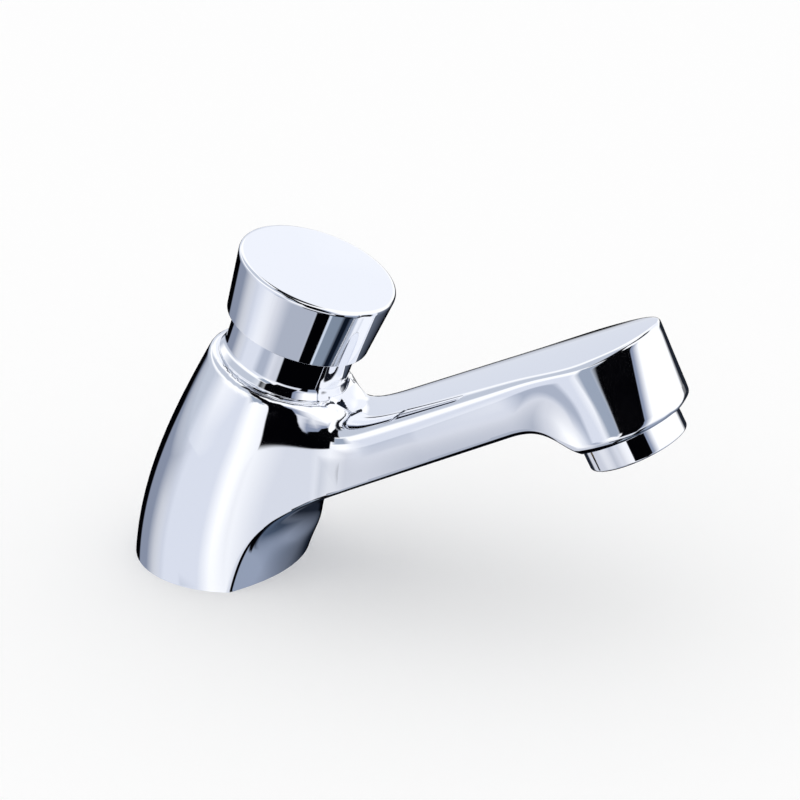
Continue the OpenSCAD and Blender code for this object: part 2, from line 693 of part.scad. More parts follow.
// Strainer: a mesh cup under a rim, in the mouth of the tail
module inlet_strainer() {
    color(steel) translate([0, 0, -tail_l]) difference() {
        rotate_extrude() polygon([[0, strainer_h - 1], [pocket_r - 2.2, strainer_h - 1],
            [pocket_r - 1.4, 1], [pocket_r - 1.4, 0], [pocket_r - seat_gap, 0],
            [pocket_r - seat_gap, 1.2], [pocket_r - 0.8, 1.2], [pocket_r - 1.6, strainer_h - 0.2],
            [0, strainer_h - 0.2]]);
        for (ring = [0 : 1]) for (i = [0 : 5 + 6 * ring])
            rotate([0, 0, 360 * i / (6 + 6 * ring)]) translate([1.9 + 1.9 * ring, 0, strainer_h - 3])
                cylinder(r = 0.55, h = 4, $fn = 16);
    }
}
module flow_restrictor() {
    color(plastic) translate([0, 0, -tail_l + strainer_h]) difference() {
        cylinder(r = pocket_r - seat_gap, h = restrictor_h - seat_gap);
        translate([0, 0, -past]) cylinder(r = 2.4, h = restrictor_h + 2 * past);
        for (i = [0 : 5]) rotate([0, 0, 60 * i]) translate([4.8, 0, -past])
            cylinder(r = 0.9, h = restrictor_h + 2 * past, $fn = 24);
    }
}
module base_gasket() {
    color(rubber) linear_extrude(gasket_t) difference() {
        base_plan(gasket_wall + seat_gap);
        circle(r = tail_r + 0.4);
    }
}

// Washers and nut that clamp the tap from under the basin
module clamp_washer() {
    color(rubber) translate([0, 0, -deck_t - clamp_t]) flat_ring(clamp_r, tail_r + loose, clamp_t);
}
module slip_washer() {
    color(steel) translate([0, 0, -deck_t - clamp_t - slip_t])
        flat_ring(clamp_r - 1, tail_r + loose, slip_t - seat_gap);
}
module backnut() {
    color(brass) translate([0, 0, -deck_t - clamp_t - slip_t - nut_h - seat_gap])
        hex_nut(nut_af, tail_r + run_gap, nut_h);
}

// Aerator: chromed shell, rubber washer, diffuser plate, insert and screen
screen_t = 0.8;
lip_h = 1.2;
diffuser_t = 1.6;
aer_washer_t = 2;
shell_h = outlet_step_h - aer_washer_t;
insert_h = shell_h - lip_h - screen_t - diffuser_t;
module aerator_shell() {
    color(chrome) on_nose() rotate_extrude() polygon([[aer_bore_r - 0.9, 0.3], [aer_bore_r - 0.6, 0],
        [aer_r - 0.4, 0], [aer_r, 0.4], [aer_r, rim_h - 0.2],
        [aer_r - 0.2, rim_h - seat_gap], [aer_thread_r, rim_h - seat_gap], [aer_thread_r, shell_h],
        [aer_bore_r, shell_h], [aer_bore_r, lip_h],
        [aer_bore_r - 0.9, lip_h]]);
}
module aerator_washer() {
    color(rubber) on_nose(shell_h + seat_gap)
        flat_ring(aer_thread_r - 0.1, outlet_cavity_r - 0.6, aer_washer_t - 2 * seat_gap);
}

// Rings of small round holes through a plate
module hole_rings(r, step, n, t) {
    for (k = [1 : n]) for (i = [0 : 6 * k - 1]) rotate([0, 0, 60 * i / k])
        translate([step * k, 0, -past]) cylinder(r = r, h = t + 2 * past, $fn = 16);
}
module aerator_diffuser() {
    color(plastic) on_nose(lip_h + screen_t + insert_h) difference() {
        cylinder(r = aer_bore_r - seat_gap, h = diffuser_t);
        hole_rings(0.5, 2, 3, diffuser_t);
    }
}
module aerator_insert() {
    color(plastic) on_nose(lip_h + screen_t + seat_gap) difference() {
        cylinder(r = aer_bore_r - seat_gap, h = insert_h - 2 * seat_gap);
        translate([0, 0, -past]) cylinder(r = aer_bore_r - 1.4, h = insert_h + 2 * past);
    }
}
module aerator_screen() {
    color(steel) on_nose(lip_h + seat_gap) difference() {
        cylinder(r = aer_bore_r - seat_gap, h = screen_t - seat_gap);
        hole_rings(0.62, 1.9, 4, screen_t);
    }
}

tap_body();
neck_sleeve();
push_button();
lock_nut();
stem();
piston();
piston_cup();
spring_seat();
return_spring();
valve_washer();
valve_nut();
cartridge_body();
gland();
stem_oring();
cartridge_oring();
cartridge_washer();
valve_seat();
tail_shank();
shank_washer();
inlet_strainer();
flow_restrictor();
base_gasket();
clamp_washer();
slip_washer();
backnut();
aerator_shell();
aerator_washer();
aerator_diffuser();
aerator_insert();
aerator_screen();
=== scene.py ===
"""A chromed self-closing basin tap, dressed piece by piece in the order in which it is built up.

The frame is in metres with +Z up. Its origin is the centre of the base, on the face that rests on
the basin, and the spout points along +X. Sizes below are in millimetres and degrees, as on the
drawing of such a tap, and every mesh is turned to metres as it is made.
"""

import math

import bmesh
import bpy
import numpy as np
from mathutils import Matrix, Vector


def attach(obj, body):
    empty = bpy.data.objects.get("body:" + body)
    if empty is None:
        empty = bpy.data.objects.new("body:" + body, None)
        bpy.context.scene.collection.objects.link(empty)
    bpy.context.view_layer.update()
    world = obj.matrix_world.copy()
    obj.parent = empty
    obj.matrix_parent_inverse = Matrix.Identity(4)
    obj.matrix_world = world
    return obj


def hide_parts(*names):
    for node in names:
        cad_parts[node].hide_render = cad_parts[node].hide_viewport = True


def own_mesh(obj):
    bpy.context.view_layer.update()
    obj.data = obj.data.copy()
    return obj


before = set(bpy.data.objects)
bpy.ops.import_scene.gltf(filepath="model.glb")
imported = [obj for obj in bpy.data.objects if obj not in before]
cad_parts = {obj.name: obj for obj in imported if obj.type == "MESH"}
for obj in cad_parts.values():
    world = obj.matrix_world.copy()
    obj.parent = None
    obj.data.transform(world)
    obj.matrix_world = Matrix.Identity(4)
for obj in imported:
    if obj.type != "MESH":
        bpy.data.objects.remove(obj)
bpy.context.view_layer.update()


# The casting
# Body, spout and nose are one sand-cast piece of brass, ground and polished by hand and then
# plated with nickel and bright chrome. It is cored out for the cartridge, the water and the tail.
MM = 0.001
# The leaning body: its axis, its base and shoulder, and the collar under the neck.
LEAN, AXIS_BACK = 19.8, 5.2
BASE_R, SHOULDER_R, SHOULDER_L = 25.0, 17.8, 53.0
BODY_BARREL, TAPER_RUN = 0.45, (-0.2, 1.3)
SHOULDER_ROUND = 2.6
COLLAR_R, COLLAR_RISE, COLLAR_BLEND = 14.4, 4.0, 2.4
# The spout: its top face, its walls and its lower edge, by distance along it and below its top.
SPOUT_RISE, SPOUT_TOP, SPOUT_HALF_W, SPOUT_BACK = 24.4, 23.85, 11.1, 8.0
SPOUT_CROWN = 70.0
WALL_CROWN, WALL_CROWN_H, WALL_CROWN_UNDER = 0.8, 9.0, 7.0
WALL_CROWN_START, WALL_CROWN_L = 38.0, 24.0
TOP_ROUND, FADE_START, FADE_L = (1.6, 7.0), 108.0, 60.0
BODY_BLEND = 14.0
LOWER_ROOT, LOWER_TIP, LOWER_BULGE = (38.1, 14.9), (83.8, 13.4), 0.4
# The nose: an upright oval, wider at its top, over a rim with a rounded edge.
NOSE_TILT, NOSE_DEPTH, NOSE_AXIS = 27.4, 27.1, 106.4
NOSE_R, NOSE_HALF_W, NOSE_BLEND = (15.9, 17.3), (16.0, 12.4), 8.0
SWELL_H = (8.0, 26.0)
RIM_H, RIM_BACK, RIM_ROUND = 6.2, 7.5, 2.2
# The panel that faces the spout, between two creases that start on the base.
CREASE_ANGLE, PANEL_BULGE, PANEL_SWELL = 73.0, 9.4, 5.2
PANEL_EDGE, ROOT_EDGE, TIP_EDGE = 0.5, 1.8, 2.6


def sin_cos(degrees):
    """Sine and cosine of an angle in degrees."""
    return math.sin(math.radians(degrees)), math.cos(math.radians(degrees))


LEAN_SIN, LEAN_COS = sin_cos(LEAN)
RISE_SIN, RISE_COS = sin_cos(SPOUT_RISE)
TILT_SIN, TILT_COS = sin_cos(NOSE_TILT)
NOSE_UP = np.array([-TILT_SIN, TILT_COS])
NOSE_OUT = np.array([TILT_COS, TILT_SIN])


def spout_point(along, over):
    """A point in side view: along the rising spout from the base centre, and square to it."""
    return np.array([along * RISE_COS - over * RISE_SIN, along * RISE_SIN + over * RISE_COS])


OUTLET = spout_point(NOSE_AXIS, SPOUT_TOP) - NOSE_DEPTH * NOSE_UP


def mix(a, b, t):
    """Straight blend: a at t = 0, b at t = 1."""
    return a + (b - a) * t


def smooth_min(a, b, k):
    """The lesser of two distances, rounded off over k by a cubic where they are nearly equal."""
    return np.minimum(a, b) - np.maximum(k - np.abs(a - b), 0) ** 3 / (6 * k * k)


def smooth_max(a, b, k):
    """The greater of two distances, rounded off over k by the same cubic."""
    return -smooth_min(-a, -b, k)


def body_distance(x, y, z):
    """Level circles at the base tip over until they stand square to the leaning axis at the
    shoulder: their planes share one line in front of the base, w is the share of the turn, and
    the radius runs from base to shoulder, and a little past both, with a slight barrel. The
    shoulder's plane caps them, and a slanted collar under the neck is blended in."""
    shoulder_x = SHOULDER_L * LEAN_SIN - AXIS_BACK
    shoulder_z = SHOULDER_L * LEAN_COS
    pivot_x = shoulder_x + shoulder_z * LEAN_COS / LEAN_SIN
    w = np.degrees(np.arctan2(z, pivot_x - x)) / LEAN
    v = np.clip(w, 0, 1)
    spine = mix(pivot_x, math.hypot(pivot_x - shoulder_x, shoulder_z), v * v * (3 - 2 * v))
    radius = mix(BASE_R, SHOULDER_R, np.clip(w, *TAPER_RUN)) + 4 * BODY_BARREL * v * (1 - v)
    side = np.hypot(np.hypot(pivot_x - x, z) - spine, y) - radius
    along = (x + AXIS_BACK) * LEAN_SIN + z * LEAN_COS
    front = (x + AXIS_BACK) * LEAN_COS - z * LEAN_SIN
    capped = smooth_max(side, along - SHOULDER_L, SHOULDER_ROUND)
    collar_top = along - SHOULDER_L - COLLAR_RISE * front / COLLAR_R
    collar = np.maximum(np.hypot(front, y) - COLLAR_R, collar_top)
    return smooth_min(capped, collar, COLLAR_BLEND)


def wall_distance(x, y, z):
    """The spout's side walls, crowned by a bell curve over their height once clear of the body,
    and swelling into an upright oval round the nose's axis."""
    up = (x - OUTLET[0]) * NOSE_UP[0] + (z - OUTLET[1]) * NOSE_UP[1]
    out = (x - OUTLET[0]) * NOSE_OUT[0] + (z - OUTLET[1]) * NOSE_OUT[1]
    f = np.clip((up - SWELL_H[0]) / (SWELL_H[1] - SWELL_H[0]), 0, 1)
    half_w = mix(*NOSE_HALF_W, f)
    oval = (np.hypot(out / mix(*NOSE_R, f), y / half_w) - 1) * half_w
    over = z * RISE_COS - x * RISE_SIN - SPOUT_TOP + WALL_CROWN_UNDER
    fade = np.clip((x * RISE_COS + z * RISE_SIN - WALL_CROWN_START) / WALL_CROWN_L, 0, 1)
    wall = SPOUT_HALF_W + WALL_CROWN * mix(0.5, np.exp(-((over / WALL_CROWN_H) ** 2)), fade)
    return smooth_min(smooth_max(np.abs(y) - wall, out, NOSE_BLEND), oval, NOSE_BLEND)


def casting_distance(x, y, z):
    """Body and spout blended together. The spout is its walls under a top face that is crowned
    as a parabola, with an edge that is crisp at the nose and fades into the body."""
    along = x * RISE_COS + z * RISE_SIN
    over = z * RISE_COS - x * RISE_SIN
    edge = mix(*TOP_ROUND, np.clip((FADE_START - along) / FADE_L, 0, 1))
    top = over - SPOUT_TOP + y * y / (2 * SPOUT_CROWN)
    spout = np.maximum(smooth_max(wall_distance(x, y, z), top, edge), SPOUT_BACK - x)
    return smooth_min(body_distance(x, y, z), spout, BODY_BLEND)


def bezier(points, t):
    """A cubic curve through the first and last of four points."""
    a, b, c, d = np.asarray(points, float)[:, None, :]
    t = t[:, None]
    return (1 - t) ** 3 * a + 3 * (1 - t) ** 2 * t * b + 3 * (1 - t) * t * t * c + t**3 * d


# Rows up the panel, under the spout, through the throat, under the nose, round its front edge and
# up its front wall.
SECTION_ROWS = (118, 22, 34, 20, 10, 14)
# How far the handles of the rail's two curves stand off their ends.
BASE_HANDLE, ROOT_HANDLE = np.array([2.9, 15]), (18, 1.5)
TIP_HANDLE, RIM_HANDLE = 10, (6, 2.6)
FAN_H, FAN_SPOUT_H, FAN_SWELL = 9.0, 6.0, 4.0
# How far the rail stays short of the oval's tip.
FRONT_SHARE, WALL_LOW_SHORT, WALL_TOP_SHORT, WALL_LIFT = 0.985, 0.02, 0.25, 0.4
CRISP = 0.2
# A cubic join over 1.65 times a radius takes about as much off a corner as the radius does.
CUBIC_PER_RADIUS = 1.65


def sections():
    """The planes that the skin is measured in, from the base to the nose's front. Each stands on
    the lower rail and turns from level to square across the spout. A row is the rail's x and z,
    the plane's turn, the height of the fan's centre, the lower side's bulge and its edge. At the
    front the rail climbs the rim by a quarter circle and then the wall, and stays a little short
    of the oval's tip, where a section would have no width."""
    panel, spout, throat, under, front, wall = (np.arange(n) / n for n in SECTION_ROWS)
    base = np.array([BASE_R * sin_cos(CREASE_ANGLE)[1], 0])
    root = spout_point(LOWER_ROOT[0], SPOUT_TOP - LOWER_ROOT[1])
    tip = spout_point(LOWER_TIP[0], SPOUT_TOP - LOWER_TIP[1])
    run = (tip - root) / np.hypot(*(tip - root))
    rim = OUTLET + RIM_H * NOSE_UP
    rim_back, rim_front = rim - RIM_BACK * NOSE_OUT, rim + (NOSE_R[0] - RIM_ROUND) * NOSE_OUT
    spout_turn, nose_turn = 90 - SPOUT_RISE, 90 - NOSE_TILT
    rim_edge = RIM_ROUND * CUBIC_PER_RADIUS
    root_handle = root - ROOT_HANDLE[0] * run + (0, ROOT_HANDLE[1])
    rim_handle = rim_back - RIM_HANDLE[0] * NOSE_OUT + RIM_HANDLE[1] * NOSE_UP
    wave = np.sin(np.pi * panel)
    climb = np.pi / 2 * front
    arc = np.sin(climb)[:, None] * NOSE_OUT * FRONT_SHARE + (1 - np.cos(climb))[:, None] * NOSE_UP
    wall_out = mix(NOSE_R[0] - WALL_LOW_SHORT, NOSE_R[1] - WALL_TOP_SHORT, wall * (2 - wall))
    swell = np.clip((wall_out - NOSE_R[0]) / (NOSE_R[1] - NOSE_R[0]), 0, 1)
    wall_up = mix(*SWELL_H, swell) + WALL_LIFT
    rows = [
        (
            bezier([base, base + BASE_HANDLE, root_handle, root], panel),
            spout_turn * panel**2 * (3 - 2 * panel),
            FAN_H + FAN_SWELL * wave - (FAN_H - FAN_SPOUT_H) * panel**3,
            mix(PANEL_BULGE, LOWER_BULGE, panel) + PANEL_SWELL * wave * (1 - panel),
            mix(PANEL_EDGE, ROOT_EDGE, panel**2),
        ),
        (
            mix(root, tip, spout[:, None]),
            spout_turn,
            FAN_SPOUT_H,
            LOWER_BULGE,
            mix(ROOT_EDGE, TIP_EDGE, spout),
        ),
        (
            bezier([tip, tip + TIP_HANDLE * run, rim_handle, rim_back], throat),
            mix(spout_turn, nose_turn, throat),
            mix(FAN_SPOUT_H, FAN_H, throat),
            LOWER_BULGE * (1 - throat),
            mix(TIP_EDGE, rim_edge, throat),
        ),
        (mix(rim_back, rim_front, under[:, None]), nose_turn, FAN_H, 0, rim_edge),
        (rim_front + RIM_ROUND * arc, nose_turn, FAN_H, 0, mix(rim_edge, CRISP, front)),
        (
            OUTLET + wall_up[:, None] * NOSE_UP + wall_out[:, None] * NOSE_OUT,
            nose_turn,
            (NOSE_DEPTH - wall_up) / 2,
            0,
            CRISP,
        ),
    ]
    return np.vstack([np.column_stack(np.broadcast_arrays(*p.T, *more)) for p, *more in rows])


def halve(inside, low, high, steps):
    """The place between low and high where inside() turns false, by halving."""
    for _ in range(steps):
        middle = (low + high) / 2
        hit = inside(middle)
        low, high = np.where(hit, middle, low), np.where(hit, high, middle)
    return low


# The rim of the neck's foot, and the furthest round that a ray may follow the crease.
NECK_RIM_R, CREASE_LIMIT = 16.5, 158.0
# How far out the skin, the spout's wall and the end of a ray are looked for.
SKIN_REACH, WALL_REACH, RAY_REACH = 40, 25, 90


def casting_grid(top_n=22, side_n=84, lower_n=22):
    """One closed ring of points on each section. Rays fan out from the section's centre and stop
    where the distance turns positive. One row of rays follows the top face's edge or the neck's
    rim, one follows the crease, and the rays between crowd towards the edge by a power of 1.5."""
    x, z, turn, centre, bulge, edge = sections().T[:, :, None]
    s, c = np.sin(np.radians(turn)), np.cos(np.radians(turn))
    zero = np.zeros_like(x)
    width = halve(lambda y: casting_distance(x, y, z) < 0, zero, zero + SKIN_REACH, 24)
    rise = (SPOUT_TOP + x * RISE_SIN - z * RISE_COS) / np.sin(np.radians(turn + SPOUT_RISE))
    top_w = halve(
        lambda y: wall_distance(x - rise * c, y, z + rise * s) < 0, zero, zero + WALL_REACH, 20
    )
    top = np.arctan2(top_w, rise - centre)
    reach = (SHOULDER_L - (x + AXIS_BACK) * LEAN_SIN - z * LEAN_COS) / np.sin(
        np.radians(np.maximum(turn - LEAN, 1))
    )
    front = (x + AXIS_BACK) * LEAN_COS - z * LEAN_SIN - reach * np.cos(np.radians(turn - LEAN))
    neck = np.sqrt(np.maximum(NECK_RIM_R**2 - front**2, 0))
    top = np.maximum(top, np.where(neck > 0, np.arctan2(neck, reach - centre), 0))
    crease = np.minimum(np.pi - np.arctan2(width, centre), np.radians(CREASE_LIMIT))
    a = np.arange(top_n)[None] / top_n
    b = np.arange(side_n)[None] / side_n
    d = np.arange(lower_n + 1)[None] / lower_n
    angle = np.hstack([top * a, mix(top, crease, b**1.5), mix(crease, np.pi, d)])

    def distance(r):
        up, y = centre + r * np.cos(angle), r * np.sin(angle)
        t = np.minimum(y / np.maximum(width, 1), 1)
        skin = casting_distance(x - up * c, y, z + up * s)
        return smooth_max(skin, -up - bulge * (1 - t * t), edge)

    # Every ray runs out by whole millimetres while it is inside, and the last one is halved.
    start = np.zeros_like(angle)
    running = np.ones(angle.shape, bool)
    for _ in range(RAY_REACH):
        running &= distance(start + 1) <= 0
        start = np.where(running, start + 1, start)
    r = halve(lambda q: distance(q) < 0, start, start + 1, 24)
    up, y = centre + r * np.cos(angle), r * np.sin(angle)
    half = np.stack([x - up * c, -y, z + up * s], -1)
    return np.concatenate([half, half[:, -2:0:-1] * (1, -1, 1)], 1)


def add_mesh(name, verts, faces, sharp=30, merge=True):
    """A closed mesh object in metres. Doubles merge, faces without area go, the shell is turned
    outwards if its signed volume is negative, and edges over the angle stay sharp."""
    mesh = bpy.data.meshes.new(name)
    v = np.asarray(verts, float).reshape(-1, 3) * MM
    mesh.from_pydata(v.tolist(), [], [list(f) for f in faces])
    obj = bpy.data.objects.new(name, mesh)
    bpy.context.scene.collection.objects.link(obj)
    tidy_mesh(mesh, sharp, merge)
    return obj


# Corners closer than this are one corner, and edges shorter than this are none, in metres.
DOUBLES, SLIVERS = 2e-6, 1e-7


def tidy_mesh(mesh, sharp, merge=True):
    """Merges doubles, drops faces without area, points the shell outwards and marks sharp edges."""
    bm = bmesh.new()
    bm.from_mesh(mesh)
    if merge:
        bmesh.ops.remove_doubles(bm, verts=bm.verts, dist=DOUBLES)
        bmesh.ops.dissolve_degenerate(bm, edges=bm.edges, dist=SLIVERS)
    if bm.calc_volume(signed=True) < 0:
        bmesh.ops.reverse_faces(bm, faces=bm.faces)
    bm.to_mesh(mesh)
    bm.free()
    mesh.shade_smooth()
    mesh.set_sharp_from_angle(angle=math.radians(sharp))


def grid_faces(rows, columns, loop=False, wrap=True):
    """Quads of a grid of points, which closes round its columns if wrap, and its rows if loop."""
    down, across = rows if loop else rows - 1, columns if wrap else columns - 1
    i, j = np.meshgrid(np.arange(down), np.arange(across), indexing="ij")
    i2, j2 = (i + 1) % rows, (j + 1) % columns
    quads = np.stack([i * columns + j, i * columns + j2, i2 * columns + j2, i2 * columns + j], -1)
    return quads.reshape(-1, 4).tolist()


def add_tube(name, grid, sharp=30):
    """A grid of rings closed at both ends by a flat face."""
    n, m, _ = grid.shape
    ends = [list(range(m))[::-1], list(range((n - 1) * m, n * m))]
    return add_mesh(name, grid, grid_faces(n, m) + ends, sharp)


def on_lean(r, along, angle):
    """Cylinder coordinates round the leaning axis of body, neck and button."""
    side = r * np.cos(angle)
    return np.stack(
        [
            side * LEAN_COS + along * LEAN_SIN - AXIS_BACK,
            r * np.sin(angle),
            along * LEAN_COS - side * LEAN_SIN,
        ],
        -1,
    )


def on_nose(r, up, angle):
    """Cylinder coordinates round the nose's axis, up from the outlet's lower face."""
    side = r * np.cos(angle)
    plan = OUTLET + side[..., None] * NOSE_OUT + up[..., None] * NOSE_UP
    return np.stack([plan[..., 0], r * np.sin(angle), plan[..., 1]], -1)


def on_tail(r, up, angle):
    """Cylinder coordinates round the upright axis of the tail."""
    return np.stack([r * np.cos(angle), r * np.sin(angle), up + 0 * angle], -1)


def rounded(corners, steps=7, hold=0.08):
    """A closed outline whose corners are (r, height, cut). Each corner is cut back by its third
    number along both sides, and a quadratic curve joins the two cuts. One more point on either
    side, a hold away, keeps the shading of the straight runs straight."""
    p = np.array(corners, float)
    c, cut = p[:, :2], p[:, 2:]
    before, after = np.roll(c, 1, 0) - c, np.roll(c, -1, 0) - c
    before, after = (side / np.hypot(*side.T)[:, None] for side in (before, after))
    a, b = c + before * cut, c + after * cut
    t = np.linspace(0, 1, steps)[:, None, None]
    curve = (1 - t) ** 2 * a + 2 * t * (1 - t) * c + t * t * b
    held = np.concatenate([(a + before * hold)[None], curve, (b + after * hold)[None]])
    return held.transpose(1, 0, 2).reshape(-1, 2)


def turned(outline, place, around):
    """An outline of radii and heights, carried once round the axis of a coordinate system."""
    angle = np.linspace(0, 2 * np.pi, around, endpoint=False)[None]
    r, up = outline[:, :1], outline[:, 1:]
    return place(r + 0 * angle, up + 0 * angle, angle + 0 * r)


def add_ring(name, place, corners, steps=7, around=224, sharp=30):
    """A turned piece: the rounded outline carried once round its axis."""
    outline = rounded(corners, steps)
    faces = grid_faces(len(outline), around, loop=True)
    return add_mesh(name, turned(outline, place, around), faces, sharp)


def cut_out(obj, cutters, sharp):
    """Takes the cutters' shapes out of obj and removes them."""
    for c in cutters:
        change = obj.modifiers.new("cut", "BOOLEAN")
        change.operation, change.solver, change.object = "DIFFERENCE", "MANIFOLD", c
    bpy.context.view_layer.update()
    cut = bpy.data.meshes.new_from_object(obj.evaluated_get(bpy.context.evaluated_depsgraph_get()))
    obj.modifiers.clear()
    cut.materials.clear()
    obj.data = cut
    for c in cutters:
        bpy.data.objects.remove(c)
    tidy_mesh(cut, sharp)
    return obj


CASTING_SHARP = 35
casting = add_tube("casting", casting_grid(), sharp=CASTING_SHARP)


def add_cutter(name, place, corners, around=192):
    """A turned cutter that reaches its axis, closed there by a point at each end."""
    outline = np.array(corners, float)
    return add_mesh(name, turned(outline, place, around), grid_faces(len(outline), around))


def base_plan(inset, angle):
    """Radius of the base's outline, taken in by inset: the lesser of its round back and of its
    flatter front, a circle through the two creases and through the front's foremost point."""
    crease = BASE_R * np.array(sin_cos(CREASE_ANGLE)[::-1])
    r = (PANEL_BULGE**2 + crease[1] ** 2) / (2 * PANEL_BULGE)
    centre = crease[0] + PANEL_BULGE - r
    c, s = np.cos(angle), np.sin(angle)
    front = centre * c + np.sqrt(np.maximum((r - inset) ** 2 - (centre * s) ** 2, 0))
    return np.minimum(BASE_R - inset, np.where(c > 0, front, BASE_R))


def add_plan(name, inset, bore, low, high, edge=0.0, around=256):
    """A flat plate of the base's outline, taken in by inset, round a bore. Its corners are cut by
    edge."""
    angle = np.linspace(0, 2 * np.pi, around, endpoint=False)
    a, b = base_plan(inset, angle), np.full_like(angle, bore)
    rows = [(b, low + edge), (b + edge, low), (a - edge, low), (a, low + edge)]
    rows += [(a, high - edge), (a - edge, high), (b + edge, high), (b, high - edge)]
    grid = np.stack([on_tail(r, np.full_like(angle, z), angle) for r, z in rows])
    return add_mesh(name, grid, grid_faces(len(rows), around, loop=True))


WATERWAY_OVER = SPOUT_TOP - 7.4


def on_spout(r, along, angle):
    """Cylinder coordinates round the water's way up the spout."""
    over = WATERWAY_OVER + r * np.cos(angle)
    plan = spout_point(along, over)
    return np.stack([plan[0], r * np.sin(angle), plan[1]], -1)


# Radii and heights of what is cored, bored and tapped out of the casting. A ring with a pin hole
# stands for a full disc.
PIN_HOLE = 0.01
CUT_LOW = -1.0
RECESS_WALL, RECESS_H = 2.6, 3.0
CORE_WALL, CORE_POST_R, CORE_H = 4.6, 13.48, 9.0
CHAMBER_R, CHAMBER_LOW, STEP_R, STEP_LOW = 10.6, 19, 12.5, 42
NECK_BORE_R, NECK_BORE_LOW, NECK_SEAT_R, NECK_SEAT_LOW, NECK_CUT_TOP = 15.05, 51, 16.05, 52.85, 63
SOCKET_R, SOCKET_TOP, INLET_R, INLET_TOP, TAIL_CUT_LOW = 10.53, 11.2, 6.5, 21, -3
NOSE_BORE_R, NOSE_BORE_LOW, NOSE_BORE_TOP, CAVITY_R, CAVITY_TOP = 11.05, 3.2, 14, 8.5, 22.1
WATERWAY_R, WATERWAY_START, WATERWAY_END = 4.3, 20, 102.4

neck_hole = [
    (0, CHAMBER_LOW), (CHAMBER_R, CHAMBER_LOW), (CHAMBER_R, STEP_LOW), (STEP_R, STEP_LOW),
    (STEP_R, NECK_BORE_LOW), (NECK_BORE_R, NECK_BORE_LOW), (NECK_BORE_R, NECK_SEAT_LOW),
    (NECK_SEAT_R, NECK_SEAT_LOW), (NECK_SEAT_R, NECK_CUT_TOP), (0, NECK_CUT_TOP),
]
tail_hole = [
    (0, TAIL_CUT_LOW), (SOCKET_R, TAIL_CUT_LOW), (SOCKET_R, SOCKET_TOP), (INLET_R, SOCKET_TOP),
    (INLET_R, INLET_TOP), (0, INLET_TOP),
]
nose_hole = [
    (0, NOSE_BORE_LOW), (NOSE_BORE_R, NOSE_BORE_LOW), (NOSE_BORE_R, NOSE_BORE_TOP),
    (CAVITY_R, NOSE_BORE_TOP), (CAVITY_R, CAVITY_TOP), (0, CAVITY_TOP),
]
waterway = [
    (0, WATERWAY_START), (WATERWAY_R, WATERWAY_START), (WATERWAY_R, WATERWAY_END),
    (0, WATERWAY_END),
]
cut_out(
    casting,
    [
        add_plan("recess_cut", RECESS_WALL, PIN_HOLE, CUT_LOW, RECESS_H),
        add_plan("core_cut", CORE_WALL, CORE_POST_R, CUT_LOW, CORE_H),
        add_cutter("neck_cut", on_lean, neck_hole),
        add_cutter("tail_cut", on_tail, tail_hole),
        add_cutter("outlet_cut", on_nose, nose_hole),
        add_cutter("waterway_cut", on_spout, waterway),
    ],
    CASTING_SHARP,
)


def polish(obj, reach=0.03, step=0.02, same_way=0.7):
    """Gives the corners of every face on the skin the exact normal, the slope of the distance by
    central differences. A face is on the skin where its corners are within reach of it and it
    faces the same way, so its mirror runs true across the mesh."""
    mesh = obj.data
    co = np.empty(len(mesh.vertices) * 3)
    mesh.vertices.foreach_get("co", co)
    p = co.reshape(-1, 3) / MM
    slope = [casting_distance(*(p + d).T) - casting_distance(*(p - d).T) for d in np.eye(3) * step]
    slope = np.stack(slope, -1)
    slope /= np.maximum(np.linalg.norm(slope, axis=1, keepdims=True), 1e-12)
    near = np.abs(casting_distance(*p.T)) < reach
    corner = np.empty(len(mesh.loops), int)
    mesh.loops.foreach_get("vertex_index", corner)
    normal = np.empty(len(mesh.loops) * 3)
    mesh.corner_normals.foreach_get("vector", normal)
    normal = normal.reshape(-1, 3)
    total = np.empty(len(mesh.polygons), int)
    mesh.polygons.foreach_get("loop_total", total)
    facing = np.empty(len(mesh.polygons) * 3)
    mesh.polygons.foreach_get("normal", facing)
    facing = np.repeat(facing.reshape(-1, 3), total, 0)
    exact = slope[corner]
    good = near[corner] & ((facing * exact).sum(1) > same_way)
    start = np.concatenate([[0], np.cumsum(total)[:-1]])
    good = np.repeat(np.logical_and.reduceat(good, start), total)
    mesh.normals_split_custom_set(np.where(good[:, None], exact, normal).tolist())


polish(casting)
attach(casting, "root")
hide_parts("tap_body")


def linear(code):
    """A colour written as sRGB hex, in the linear light that shaders work in."""
    c = np.array([int(code[i : i + 2], 16) for i in (1, 3, 5)]) / 255
    return (*np.where(c <= 0.04045, c / 12.92, ((c + 0.055) / 1.055) ** 2.4), 1.0)


def add_node(tree, kind, feeds=None, **settings):
    """Adds a shader node. feeds gives a socket, by name or number, another socket or a value, and
    settings are the node's own properties."""
    made = tree.nodes.new(kind)
    for key, value in settings.items():
        setattr(made, key, value)
    for key, value in (feeds or {}).items():
        if isinstance(value, bpy.types.NodeSocket):
            tree.links.new(value, made.inputs[key])
        else:
            made.inputs[key].default_value = value
    return made.outputs[0]


def new_material(name, **settings):
    """A material with one Principled shader, whose even values are set on its own sockets."""
    made = bpy.data.materials.new(name)
    made.use_nodes = True
    shader = made.node_tree.nodes["Principled BSDF"]
    for key, value in settings.items():
        shader.inputs[key.replace("_", " ")].default_value = value
    return made, made.node_tree, shader


def object_place(tree, lean=0.0):
    """Object coordinates in metres, turned so that a leaning piece's axis stands upright."""
    place = add_node(tree, "ShaderNodeTexCoord")
    place = place.node.outputs["Object"]
    if lean:
        upright = (0, -math.radians(lean), 0)
        place = add_node(tree, "ShaderNodeMapping", {"Vector": place, "Rotation": upright})
    return place


